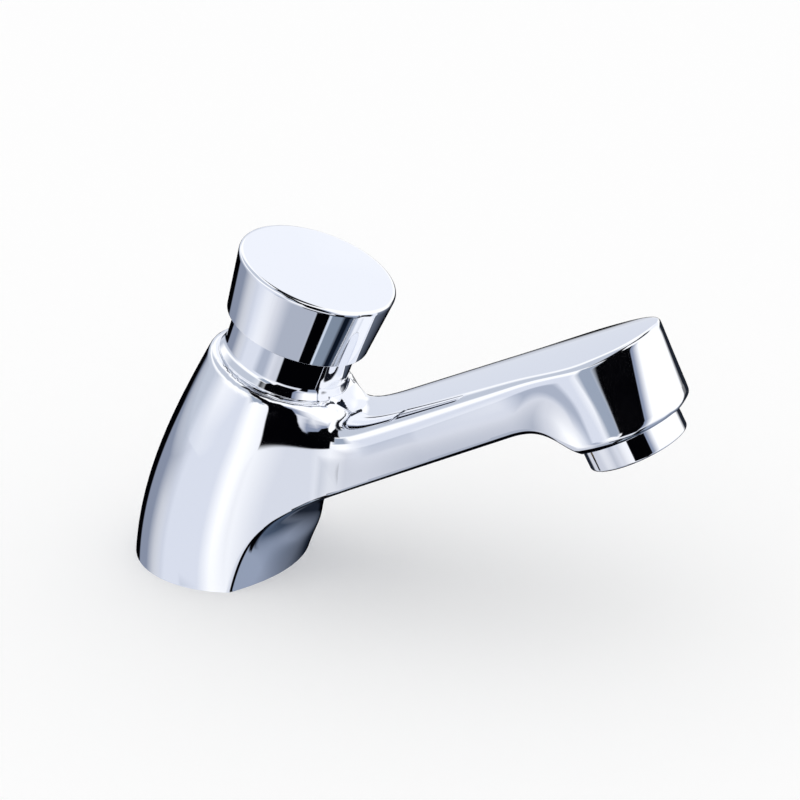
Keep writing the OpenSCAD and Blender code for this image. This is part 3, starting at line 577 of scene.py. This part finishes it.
def noise(tree, place, size_mm, detail):
    """Noise whose largest blotches are about size_mm across."""
    feeds = {"Vector": place, "Scale": 1 / (size_mm * MM), "Detail": detail}
    return add_node(tree, "ShaderNodeTexNoise", feeds)


def spread(tree, value, low, high):
    """Noise, nearly all of which lies from 0.3 to 0.7, spread from low to high."""
    feeds = {"Value": value, "From Min": 0.3, "From Max": 0.7, "To Min": low, "To Max": high}
    return add_node(tree, "ShaderNodeMapRange", feeds)


def relief(tree, height, depth_mm):
    """The normal of a relief of depth_mm."""
    feeds = {"Height": height, "Strength": 1.0, "Distance": depth_mm * MM}
    return add_node(tree, "ShaderNodeBump", feeds)


def chrome_plate(name, haze_mm, haze, wave_mm, wave_depth_mm):
    """Bright chrome over nickel is a faintly blue mirror. Its haze comes in patches of haze_mm,
    with roughness between the two of haze, and the metal under it waves by wave_depth_mm over
    wave_mm."""
    made, tree, shader = new_material(name, Metallic=1.0, Base_Color=linear("#F1F3F8"))
    place = object_place(tree)
    rough = spread(tree, noise(tree, place, haze_mm, 3.0), *haze)
    wave = relief(tree, noise(tree, place, wave_mm, 1.0), wave_depth_mm)
    tree.links.new(rough, shader.inputs["Roughness"])
    tree.links.new(wave, shader.inputs["Normal"])
    return made


# The casting was ground and mopped by hand, so straight lines in its mirror waver a little.
chrome_on_casting = chrome_plate("bright_chrome_on_mopped_brass", 11, (0.025, 0.055), 16, 0.012)
casting.data.materials.append(chrome_on_casting)


# The tail
# A length of brass bar with a half-inch pipe thread, screwed up into the casting against a white
# washer. Its mouth holds a pressed steel strainer and the flow restrictor, and takes the hose.
TAIL_R, TAIL_BORE_R, TAIL_L, SOCKET_Z = 10.478, 6.5, 50.0, 10.0
PITCH, THREAD_DEPTH = 1.814, 1.162
POCKET_R, POCKET_H, MOUTH_CUT = 8.0, 13.0, 0.4


def threaded_tail(around=96, per_turn=10):
    """Rows follow the thread up: height is the turn's share plus the row's share of the pitch, held
    between the ends, and the radius falls by a cosine of the row's share. That has the flanks of
    the rounded pipe thread. Cones of 45 degrees cut both ends down to the root."""
    rows = per_turn * int((TAIL_L + SOCKET_Z) / PITCH + 2) + 1
    share = np.arange(rows)[:, None] / per_turn
    turn = np.linspace(0, 1, around + 1)[None]
    z = np.clip(-TAIL_L + PITCH * (share + turn - 1), -TAIL_L, SOCKET_Z)
    thread = TAIL_R - THREAD_DEPTH * (0.5 - 0.5 * np.cos(2 * np.pi * share))
    root = TAIL_R - THREAD_DEPTH
    r = np.minimum(thread, root + np.minimum(z + TAIL_L, SOCKET_Z - z))
    pocket_top, mouth = -TAIL_L + POCKET_H, -TAIL_L + MOUTH_CUT
    inner = [(TAIL_BORE_R, SOCKET_Z), (TAIL_BORE_R, pocket_top), (POCKET_R, pocket_top)]
    inner = np.array(inner + [(POCKET_R, mouth), (POCKET_R + MOUTH_CUT, -TAIL_L)])[:, :, None]
    r = np.vstack([r, inner[:, 0] + 0 * turn])
    z = np.vstack([z, inner[:, 1] + 0 * turn])
    grid = on_tail(r, z, 2 * np.pi * turn + 0 * r)
    faces = grid_faces(len(r), around + 1, loop=True, wrap=False)
    return add_mesh("threaded_tail", grid, faces, 50)


tail = threaded_tail()
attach(tail, "root")
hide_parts("tail_shank")


# The wave texture repeats every 2 pi / 20 of its scaled coordinate.
WAVE_PERIOD = 2 * math.pi / 20
TARNISH_MM, CLOUD_MM = 6, 8


def blend(tree, share, a, b):
    """Colour a, turned to colour b by a share."""
    feeds = {0: share, 6: a, 7: b}
    return add_node(tree, "ShaderNodeMix", feeds, data_type="RGBA").node.outputs[2]


def turned_metal(name, code, tarnish, rough, line_mm, line_depth_mm, lean=0.0):
    """Metal from the lathe: fine rings line_mm apart round the piece's axis catch the light, and
    tarnish darkens it in soft patches of a few millimetres, where it is also less glossy."""
    made, tree, shader = new_material(name, Metallic=1.0)
    place = object_place(tree, lean)
    patches = noise(tree, place, TARNISH_MM, 4.0)
    scale = WAVE_PERIOD / (line_mm * MM)
    feeds = {"Vector": place, "Scale": scale, "Distortion": 0.4, "Detail": 1.0}
    rings = add_node(tree, "ShaderNodeTexWave", feeds, bands_direction="Z").node.outputs["Fac"]
    colour = blend(tree, patches, linear(code), linear(tarnish))
    tree.links.new(colour, shader.inputs["Base Color"])
    tree.links.new(spread(tree, patches, *rough), shader.inputs["Roughness"])
    tree.links.new(relief(tree, rings, line_depth_mm), shader.inputs["Normal"])
    return made


tail_brass = turned_metal("turned_brass_bar", "#D2AE66", "#A98243", (0.22, 0.38), 0.25, 0.004)
tail.data.materials.append(tail_brass)


def dress(material, *nodes):
    """Gives a material to CAD nodes whose shape is already that of the real piece."""
    for node in nodes:
        for part_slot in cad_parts[node].material_slots:
            part_slot.material = material


def moulded(name, code, shade, rough, grain_mm, grain_depth_mm, **settings):
    """Moulded goods: an even colour that shade clouds a little, and a fine grain from the mould."""
    made, tree, shader = new_material(name, **settings)
    place = object_place(tree)
    cloud = noise(tree, place, CLOUD_MM, 2.0)
    grain = noise(tree, place, grain_mm, 2.0)
    colour = blend(tree, cloud, linear(code), linear(shade))
    tree.links.new(colour, shader.inputs["Base Color"])
    tree.links.new(spread(tree, cloud, *rough), shader.inputs["Roughness"])
    tree.links.new(relief(tree, grain, grain_depth_mm), shader.inputs["Normal"])
    return made


# White acetal is moulded smooth, with the soft gloss of wax.
white_acetal = moulded(
    "moulded_white_acetal", "#F1F1EC", "#E4E4DC", (0.32, 0.45), 0.6, 0.006, IOR=1.48
)
dress(white_acetal, "shank_washer", "flow_restrictor")
# Pressed stainless sheet keeps the grey, slightly hazy skin of the rolling mill.
pressed_steel = turned_metal(
    "pressed_stainless_sheet", "#C3C6C9", "#ABAFB3", (0.26, 0.4), 0.6, 0.002
)
dress(pressed_steel, "inlet_strainer")


# The cartridge
# A turned brass body holds the damping cylinder and the valve. It screws down into the casting,
# with a rubber ring round its foot, a washer on its step and a stainless seat pressed in below.
cartridge_brass = turned_metal(
    "turned_cartridge_brass", "#D6B36C", "#B8904D", (0.2, 0.34), 0.2, 0.003, LEAN
)
dress(cartridge_brass, "cartridge_body", "gland", "piston")
# Nitrile rubber is dull black, with a bloom that greys it in patches.
nitrile = moulded("moulded_nitrile_rubber", "#17181A", "#222326", (0.6, 0.75), 0.4, 0.01, IOR=1.52)
dress(nitrile, "cartridge_oring", "cartridge_washer", "stem_oring", "piston_cup", "valve_washer")
# Ground stainless has a fine cross grain and a brighter, whiter gloss than brass.
ground_steel = turned_metal(
    "ground_stainless_bar", "#D3D5D8", "#C2C5C9", (0.14, 0.24), 0.12, 0.0015, LEAN
)
dress(ground_steel, "valve_seat", "stem", "spring_seat", "lock_nut", "valve_nut")


# The return spring
# Five turns of stainless wire in the damping cylinder, closed at both ends. It carries the
# piston, and shortens towards its lower end as the button goes down.
SPRING_R, WIRE_R, SPRING_TURNS, SPRING_FLAT = 4.65, 0.35, 5, 0.8
SPRING_LOW, SPRING_HIGH, SPRING_SEAT = 32.4, 42.8, 32.0
SPRING_END, SPRING_KEEP = 0.02, 0.375


def return_spring(per_turn=60, sides=14):
    """A round wire carried along a helix that climbs only between its flat end turns. Its first
    and last rings are doubled, and the outer one of each two is narrowed to close the wire flat."""
    t = np.linspace(0, 1, SPRING_TURNS * per_turn + 1)
    t = np.concatenate([t[:1], t, t[-1:]])[:, None]
    cap = np.ones_like(t)
    cap[0] = cap[-1] = SPRING_END
    climb = np.clip((t * SPRING_TURNS - SPRING_FLAT) / (SPRING_TURNS - 2 * SPRING_FLAT), 0, 1)
    b = np.linspace(0, 2 * np.pi, sides, endpoint=False)[None]
    r = SPRING_R + WIRE_R * cap * np.cos(b)
    along = mix(SPRING_LOW, SPRING_HIGH, climb) + WIRE_R * cap * np.sin(b)
    grid = on_lean(r, along, 2 * np.pi * SPRING_TURNS * t + 0 * r)
    return add_tube("return_spring_coil", grid, 60)


spring = return_spring()
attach(spring, "root")
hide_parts("return_spring")
# Drawn wire is a little darker than bar, with die lines too fine to see.
drawn_wire = turned_metal(
    "drawn_stainless_wire", "#B9BCC0", "#A2A5AA", (0.24, 0.36), 0.1, 0.001, LEAN
)
spring.data.materials.append(drawn_wire)
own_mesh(spring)


# The neck sleeve
# A turned and chromed brass sleeve round the cartridge's head. Its foot rests on the body's
# shoulder, and the cartridge's flange holds it down by its inner lip.
NECK_R, NECK_WAIST_R, NECK_FOOT_R, NECK_PLUG_R = 15.2, 15.05, 16.0, 15.0
NECK_INNER_R, NECK_LIP_R = 13.4, 12.5
NECK_LOW, NECK_LIP_TOP, FOOT_LOW, FOOT_TOP = 51, 52.5, 52.9, 53.65
WAIST_H, NECK_TOP = 55.6, 66.2
neck = add_ring(
    "neck_sleeve_turned",
    on_lean,
    [
        (NECK_LIP_R, NECK_LOW, 0), (NECK_PLUG_R, NECK_LOW, 0.2), (NECK_PLUG_R, FOOT_LOW, 0),
        (NECK_FOOT_R, FOOT_LOW, 0.08), (NECK_FOOT_R, FOOT_TOP, 0.1), (NECK_WAIST_R, WAIST_H, 0.7),
        (NECK_R, NECK_TOP, 0.4), (NECK_INNER_R, NECK_TOP, 0.2), (NECK_INNER_R, NECK_LIP_TOP, 0),
        (NECK_LIP_R, NECK_LIP_TOP, 0),
    ],
)
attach(neck, "root")
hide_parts("neck_sleeve")
# Turned and buffed in the lathe, so its mirror is truer than the casting's.
chrome_on_turned = chrome_plate("bright_chrome_on_turned_brass", 14, (0.015, 0.035), 20, 0.003)
neck.data.materials.append(chrome_on_turned)


# The push button
# A turned brass cap with a skirt that slides down over the neck, chromed like the body. It screws
# onto the stem by the boss inside it, against the lock nut.
SKIRT_INNER_R, SKIRT_R, CAP_R, SKIRT_LOW = 15.8, 17.4, 19.25, 64.2
CAP_RIM, CAP_TOP, ROOF_RIM, ROOF = 80.2, 80.7, 77.1, 76.6
BOSS_R, SCREW_R, BOSS_LOW, SCREW_TOP = 6, 3.05, 72, 77
button = add_ring(
    "button_cap",
    on_lean,
    [
        (SKIRT_INNER_R, SKIRT_LOW, 0.15), (SKIRT_R, SKIRT_LOW, 0.2), (CAP_R, CAP_RIM, 1.4),
        (PIN_HOLE, CAP_TOP, 0), (PIN_HOLE, SCREW_TOP, 0), (SCREW_R, SCREW_TOP, 0),
        (SCREW_R, BOSS_LOW, 0), (BOSS_R, BOSS_LOW, 0.2), (BOSS_R, ROOF, 0.5),
        (SKIRT_INNER_R, ROOF_RIM, 0.5),
    ],
    steps=10,
)
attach(button, "plunger")
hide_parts("push_button")
button.data.materials.append(chrome_on_turned)


# The aerator
# A chromed shell screws into the nose over a rubber washer. It holds a white diffuser plate and
# insert, and a disc of woven stainless mesh, on the lip at its mouth.
AERATOR_R, AERATOR_THREAD_R, AERATOR_BORE_R, LIP_R = 12.05, 11, 9.6, 8.7
AERATOR_SHOW, AERATOR_TOP, LIP_H = 6.15, 12, 1.2
shell = add_ring(
    "aerator_shell_turned",
    on_nose,
    [
        (LIP_R, 0, 0.3), (AERATOR_R, 0, 0.5), (AERATOR_R, AERATOR_SHOW, 0.2),
        (AERATOR_THREAD_R, AERATOR_SHOW, 0), (AERATOR_THREAD_R, AERATOR_TOP, 0),
        (AERATOR_BORE_R, AERATOR_TOP, 0), (AERATOR_BORE_R, LIP_H, 0), (LIP_R, LIP_H, 0),
    ],
)
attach(shell, "root")
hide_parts("aerator_shell")
shell.data.materials.append(chrome_on_turned)
dress(white_acetal, "aerator_diffuser", "aerator_insert")
dress(nitrile, "aerator_washer")

MESH_STEP, MESH_WIRE_R, MESH_H, MESH_R = 0.72, 0.14, 1.62, 9.5


def woven_disc(per_step=6, sides=6):
    """Wires in two directions, each a tube whose height swings as a cosine from wire to crossing
    wire, so that they pass over and under each other. Each ends on the disc's circle."""
    n = int(MESH_R / MESH_STEP)
    place = np.arange(-n, n + 1)[:, None, None] * MESH_STEP
    half = np.sqrt(MESH_R**2 - place**2)
    run = np.linspace(-1, 1, 2 * n * per_step)[None, :, None] * half
    b = np.linspace(0, 2 * np.pi, sides, endpoint=False)[None, None]
    over = np.where(np.arange(-n, n + 1)[:, None, None] % 2 == 0, 1, -1)
    swing = MESH_WIRE_R * np.cos(np.pi * run / MESH_STEP) * over
    across = place + MESH_WIRE_R * np.cos(b) + 0 * run
    parts = []
    for sign in (1, -1):
        up = MESH_H + sign * swing + MESH_WIRE_R * np.sin(b)
        side, y = (run + 0 * across, across) if sign == 1 else (across, run + 0 * across)
        plan = OUTLET + side[..., None] * NOSE_OUT + up[..., None] * NOSE_UP
        parts.append(np.stack([plan[..., 0], y, plan[..., 1]], -1))
    wires = np.concatenate(parts)
    count, rings, _, _ = wires.shape
    tube = np.array(grid_faces(rings, sides))
    start = np.arange(count) * rings * sides
    faces = (tube[None] + start[:, None, None]).reshape(-1, 4).tolist()
    low = np.arange(sides)[::-1] + start[:, None]
    high = np.arange(sides) + start[:, None] + (rings - 1) * sides
    return wires, faces + low.tolist() + high.tolist()


screen = add_mesh("aerator_mesh", *woven_disc(), sharp=60, merge=False)
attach(screen, "root")
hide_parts("aerator_screen")
screen.data.materials.append(drawn_wire)


# The base gasket
# Foamed rubber, die cut to the recess under the base. It seals the casting to the basin.
GASKET_INSET, GASKET_BORE_R, GASKET_LOW, GASKET_HIGH, GASKET_EDGE = 2.65, 10.88, 0.02, 2.98, 0.25
gasket = add_plan(
    "foam_base_gasket", GASKET_INSET, GASKET_BORE_R, GASKET_LOW, GASKET_HIGH, GASKET_EDGE
)
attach(gasket, "root")
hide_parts("base_gasket")
# Foam is greyer than solid rubber and matt, pitted by its cells.
foam = moulded("foamed_rubber", "#232427", "#2D2E31", (0.85, 0.95), 0.5, 0.06, IOR=1.5)
gasket.data.materials.append(foam)


# Washers and backnut
# Under the basin come a thick rubber washer, a zinc-plated steel washer that lets the nut turn,
# and a brass backnut, forged and chamfered on the lathe.
DECK_T, CLAMP_T, SLIP_T, SEAM = 20.0, 2.5, 1.5, 0.05
WASHER_BORE_R, CLAMP_R, SLIP_R = 10.78, 19, 18
NUT_H, NUT_HALF_AF, NUT_BORE_R, NUT_MOUTH_R, NUT_MOUTH_H = 7.0, 15.0, 10.53, 11.3, 0.8
NUT_CUT, NUT_CONE_H, NUT_CONE_ANGLE = 0.6, 1.6, 30.0


def washer(name, r, low, high, bore_cut, rim_cut):
    """A flat ring round the tail, its bore and its rim broken at the edges."""
    corners = [(WASHER_BORE_R, low, bore_cut), (r, low, rim_cut)]
    corners += [(r, high, rim_cut), (WASHER_BORE_R, high, bore_cut)]
    return add_ring(name, on_tail, corners)


clamp_low = -DECK_T - CLAMP_T
slip_low = clamp_low - SLIP_T
clamp = washer("rubber_clamp_washer", CLAMP_R, clamp_low, -DECK_T, 0.3, 0.5)
slip = washer("steel_slip_washer", SLIP_R, slip_low, clamp_low - SEAM, 0.15, 0.25)


def chamfered_nut(steps=6, around=240):
    """The radius of a hexagon, no more than a cone that starts just outside the flats at each end
    and rises by 30 degrees. The bore is plain, with a cut of 45 degrees at each mouth."""
    low, high = slip_low - NUT_H - SEAM, slip_low - SEAM
    edge = (np.arange(steps) / (steps - 1)) ** 1.5 * NUT_CONE_H
    z = np.concatenate([low + edge, (high - edge)[::-1]])[:, None]
    angle = np.arange(around)[None] * 2 * np.pi / around
    sector = np.pi / 3
    flat = NUT_HALF_AF / np.cos(np.mod(angle, sector) - sector / 2)
    rise = np.minimum(z - low, high - z)
    cone = NUT_HALF_AF - NUT_CUT + rise / math.tan(math.radians(NUT_CONE_ANGLE))
    bore = [(NUT_MOUTH_R, high), (NUT_BORE_R, high - NUT_MOUTH_H)]
    bore = np.array(bore + [(NUT_BORE_R, low + NUT_MOUTH_H), (NUT_MOUTH_R, low)])[:, :, None]
    r = np.vstack([np.minimum(flat, cone), bore[:, 0] + 0 * angle])
    grid = on_tail(r, np.vstack([z + 0 * angle, bore[:, 1] + 0 * angle]), angle + 0 * r)
    return add_mesh("chamfered_backnut", grid, grid_faces(len(r), around, loop=True), 25)


nut = chamfered_nut()
# Bright zinc plate is bluish and hazy, with the lathe's rings showing through.
zinc = turned_metal("zinc_plated_steel", "#C4CAD2", "#A9AFB8", (0.3, 0.45), 0.4, 0.004)
nut_brass = turned_metal("forged_nut_brass", "#CFAA61", "#9F7A3E", (0.26, 0.42), 0.5, 0.006)
for piece, node, finish, material in (
    (clamp, "clamp_washer", "clamp_rubber", nitrile),
    (slip, "slip_washer", "washer_steel", zinc),
    (nut, "backnut", "nut_brass", nut_brass),
):
    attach(piece, "root")
    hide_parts(node)
    piece.data.materials.append(material)


# The studio
# The tap stands on a pale basin slab, bored for its tail. White tents and dark cards stand round
# it, as for a picture of chrome. Only mirrors see the cards, and all else is lit evenly white.
DECK_HOLE_R, DECK_R = 16.0, 3000
deck = add_ring(
    "deck",
    on_tail,
    [(DECK_HOLE_R, -DECK_T, 0.5), (DECK_R, -DECK_T, 0), (DECK_R, 0, 0), (DECK_HOLE_R, 0, 0.4)],
    around=256,
)
deck_paint, _, _ = new_material("matt_white_slab", Base_Color=linear("#FEFEFE"), Roughness=0.9)
deck.data.materials.append(deck_paint)
deck.visible_glossy = False
# Mirrors look through the slab, so what hangs under it stays out of them too.
for hidden in (tail, clamp, slip, nut):
    hidden.visible_glossy = False

CAMERA_AZIMUTH, CAMERA_ELEVATION, CAMERA_DISTANCE = 19.18, 23.64, 652.17
CAMERA_LENS, CAMERA_SENSOR = 125.5, 36
LOOK_AT = np.array([41.82, 0, 44.86])
a_sin, a_cos = sin_cos(CAMERA_AZIMUTH)
e_sin, e_cos = sin_cos(CAMERA_ELEVATION)
back = np.array([a_sin * e_cos, -a_cos * e_cos, e_sin])

# Each card: its colour, its sides in degrees right of the camera as seen from the tap, its lower
# and upper edge in degrees over the horizon, how soft its sides and its edges are, and its fall
# to the right per degree. A card covers those before it.
CARDS = [
    # Pale greys of the tent, overhead and low on the left.
    ("#EFF1F6", 130, 220, 22, 70, 20, 10, 0),
    ("#BEC4CF", -140, -20, 24, 70, 20, 8, 0),
    ("#BFC5D0", -175, -90, -6, 10, 20, 8, 0),
    # The floor, pale in front of the tap and dark behind it.
    ("#D6D9E1", -5, 60, -42, -12, 40, 10, 0),
    ("#D5D7DE", -68, -20, -42, -19, 18, 8, 0),
    ("#C9CCD5", -220, 30, -95, -38, 8, 8, 0),
    ("#A9AFBC", -50, 0, -60, -31, 16, 10, 0),
    ("#929CAF", 38, 220, -95, -20, 10, 10, 0),
    ("#49566A", 60, 130, -95, -50, 20, 12, 0),
    ("#1A202B", 122, 260, -95, -18, 80, 6, 0),
    ("#1A202B", -260, -140, -95, -18, 10, 6, 0),
    # Strips across the floor, which the spout's wall and the body's right side see.
    ("#7E8A9A", 23, 52, -95, -47, 3, 3, 0),
    ("#0C1420", 50, 68, -95, -48, 8, 3, 0),
    ("#C9D3E0", 19, 24, -95, -46, 2, 2, 0),
    ("#020204", -22, 20, -42.4, -34.4, 2, 1.5, 0.243),
    ("#020204", 16, 64, -51, -42.1, 2, 1.5, 0.127),
    ("#020204", 30, 46, -50, -20, 3, 3, 0),
    # Black cloth straight under the tap.
    ("#020204", -4, 19, -66, -44, 1.5, 2, 0),
    ("#020204", -220, 220, -95, -66, 2, 2, 0),
    ("#020204", -220, -4, -95, -56, 2, 2, 0),
    # Greys level with the tap, which shade the curved skins from one side to the other.
    ("#8A93A8", 10, 38, -12, 34, 14, 8, 0),
    ("#D8DCE6", -100, -37, -24, 2, 14, 8, 0),
    ("#98A2B2", -34, -14, -4, 18, 8, 3, 0),
    ("#A9B0BF", -62, -42, -25, -18, 10, 3, 0),
    # The black uprights in front, the bands down the body and round the nose.
    ("#020204", -9.5, 27, -19.5, 36, 1.5, 1.5, 0.25),
    ("#020204", -16, 27, 3, 36, 2, 3, 0),
    ("#020204", -26, 2, 22, 62, 4, 6, 0),
    # Behind the tap, where the outer edges of its round pieces look.
    ("#858D9F", -175, -104, -28, -4, 34, 6, 0),
    ("#020204", -172, -141, -27, -8, 3, 3, 0),
    ("#1E232C", 132, 165, -26, 3, 12, 4, 0),
    ("#020204", 160, 220, -32, -7, 4, 3, 0),
    ("#020204", -220, -170, -32, -7, 3, 3, 0),
    ("#D6DAE3", -220, -155, -3, 24, 8, 6, 0),
    ("#D6DAE3", 172, 220, -3, 24, 8, 6, 0),
    # The dark ceiling.
    ("#12151B", -45, 260, 62, 120, 10, 8, 0),
]
TENT = "#FFFFFF"
DAYLIGHT = "#FFFFFF"
MIRROR_STRENGTH = 1.14
DEGREES = 180 / math.pi

world = bpy.data.worlds.new("studio")
bpy.context.scene.world = world
world.use_nodes = True
tree = world.node_tree


def arithmetic(operation, *values, **settings):
    """One step of arithmetic on values or sockets."""
    feeds = dict(enumerate(values))
    return add_node(tree, "ShaderNodeMath", feeds, operation=operation, **settings)


def dot(a, b):
    """How far a direction reaches along another."""
    made = add_node(tree, "ShaderNodeVectorMath", {0: a, 1: b}, operation="DOT_PRODUCT")
    return made.node.outputs["Value"]


def depth_inside(value, low, high, soft):
    """How far a value lies inside a range, half its width less the distance from its middle, as a
    share of the range's soft edge."""
    off = arithmetic("ABSOLUTE", arithmetic("SUBTRACT", value, (low + high) / 2))
    return arithmetic("DIVIDE", arithmetic("SUBTRACT", (high - low) / 2, off), soft)


# A direction's angles in degrees, to the right of the camera and over the horizon.
direction = add_node(tree, "ShaderNodeTexCoord").node.outputs["Generated"]
around = arithmetic(
    "ARCTAN2", dot(direction, (a_cos, a_sin, 0)), dot(direction, (a_sin, -a_cos, 0))
)
around = arithmetic("MULTIPLY", around, DEGREES)
height = add_node(tree, "ShaderNodeSeparateXYZ", {0: direction}).node.outputs[2]
height = arithmetic("MULTIPLY", arithmetic("ARCSINE", height), DEGREES)

seen = linear(TENT)
for code, left, right, low, high, soft_side, soft_edge, fall in CARDS:
    level = height
    if fall:
        off = arithmetic("ADD", around, -(left + right) / 2)
        level = arithmetic("MULTIPLY_ADD", off, fall, height)
    inside = arithmetic(
        "MINIMUM",
        depth_inside(around, left, right, soft_side),
        depth_inside(level, low, high, soft_edge),
    )
    share = arithmetic("ADD", inside, 0.5, use_clamp=True)
    seen = blend(tree, share, seen, linear(code))
mirror = add_node(tree, "ShaderNodeLightPath").node.outputs["Is Glossy Ray"]
seen = blend(tree, mirror, linear(DAYLIGHT), seen)
strength = arithmetic("MULTIPLY_ADD", mirror, MIRROR_STRENGTH - 1, 1.0)
tree.links.new(seen, tree.nodes["Background"].inputs["Color"])
tree.links.new(strength, tree.nodes["Background"].inputs["Strength"])
bpy.context.scene.view_settings.view_transform = "Standard"

camera = bpy.data.objects.new("camera", bpy.data.cameras.new("camera"))
bpy.context.scene.collection.objects.link(camera)
camera.data.lens = CAMERA_LENS
camera.data.sensor_width = CAMERA_SENSOR
camera.location = (LOOK_AT + back * CAMERA_DISTANCE) * MM
camera.rotation_mode = "QUATERNION"
camera.rotation_quaternion = Vector(-back).to_track_quat("-Z", "Y")
bpy.context.scene.camera = camera
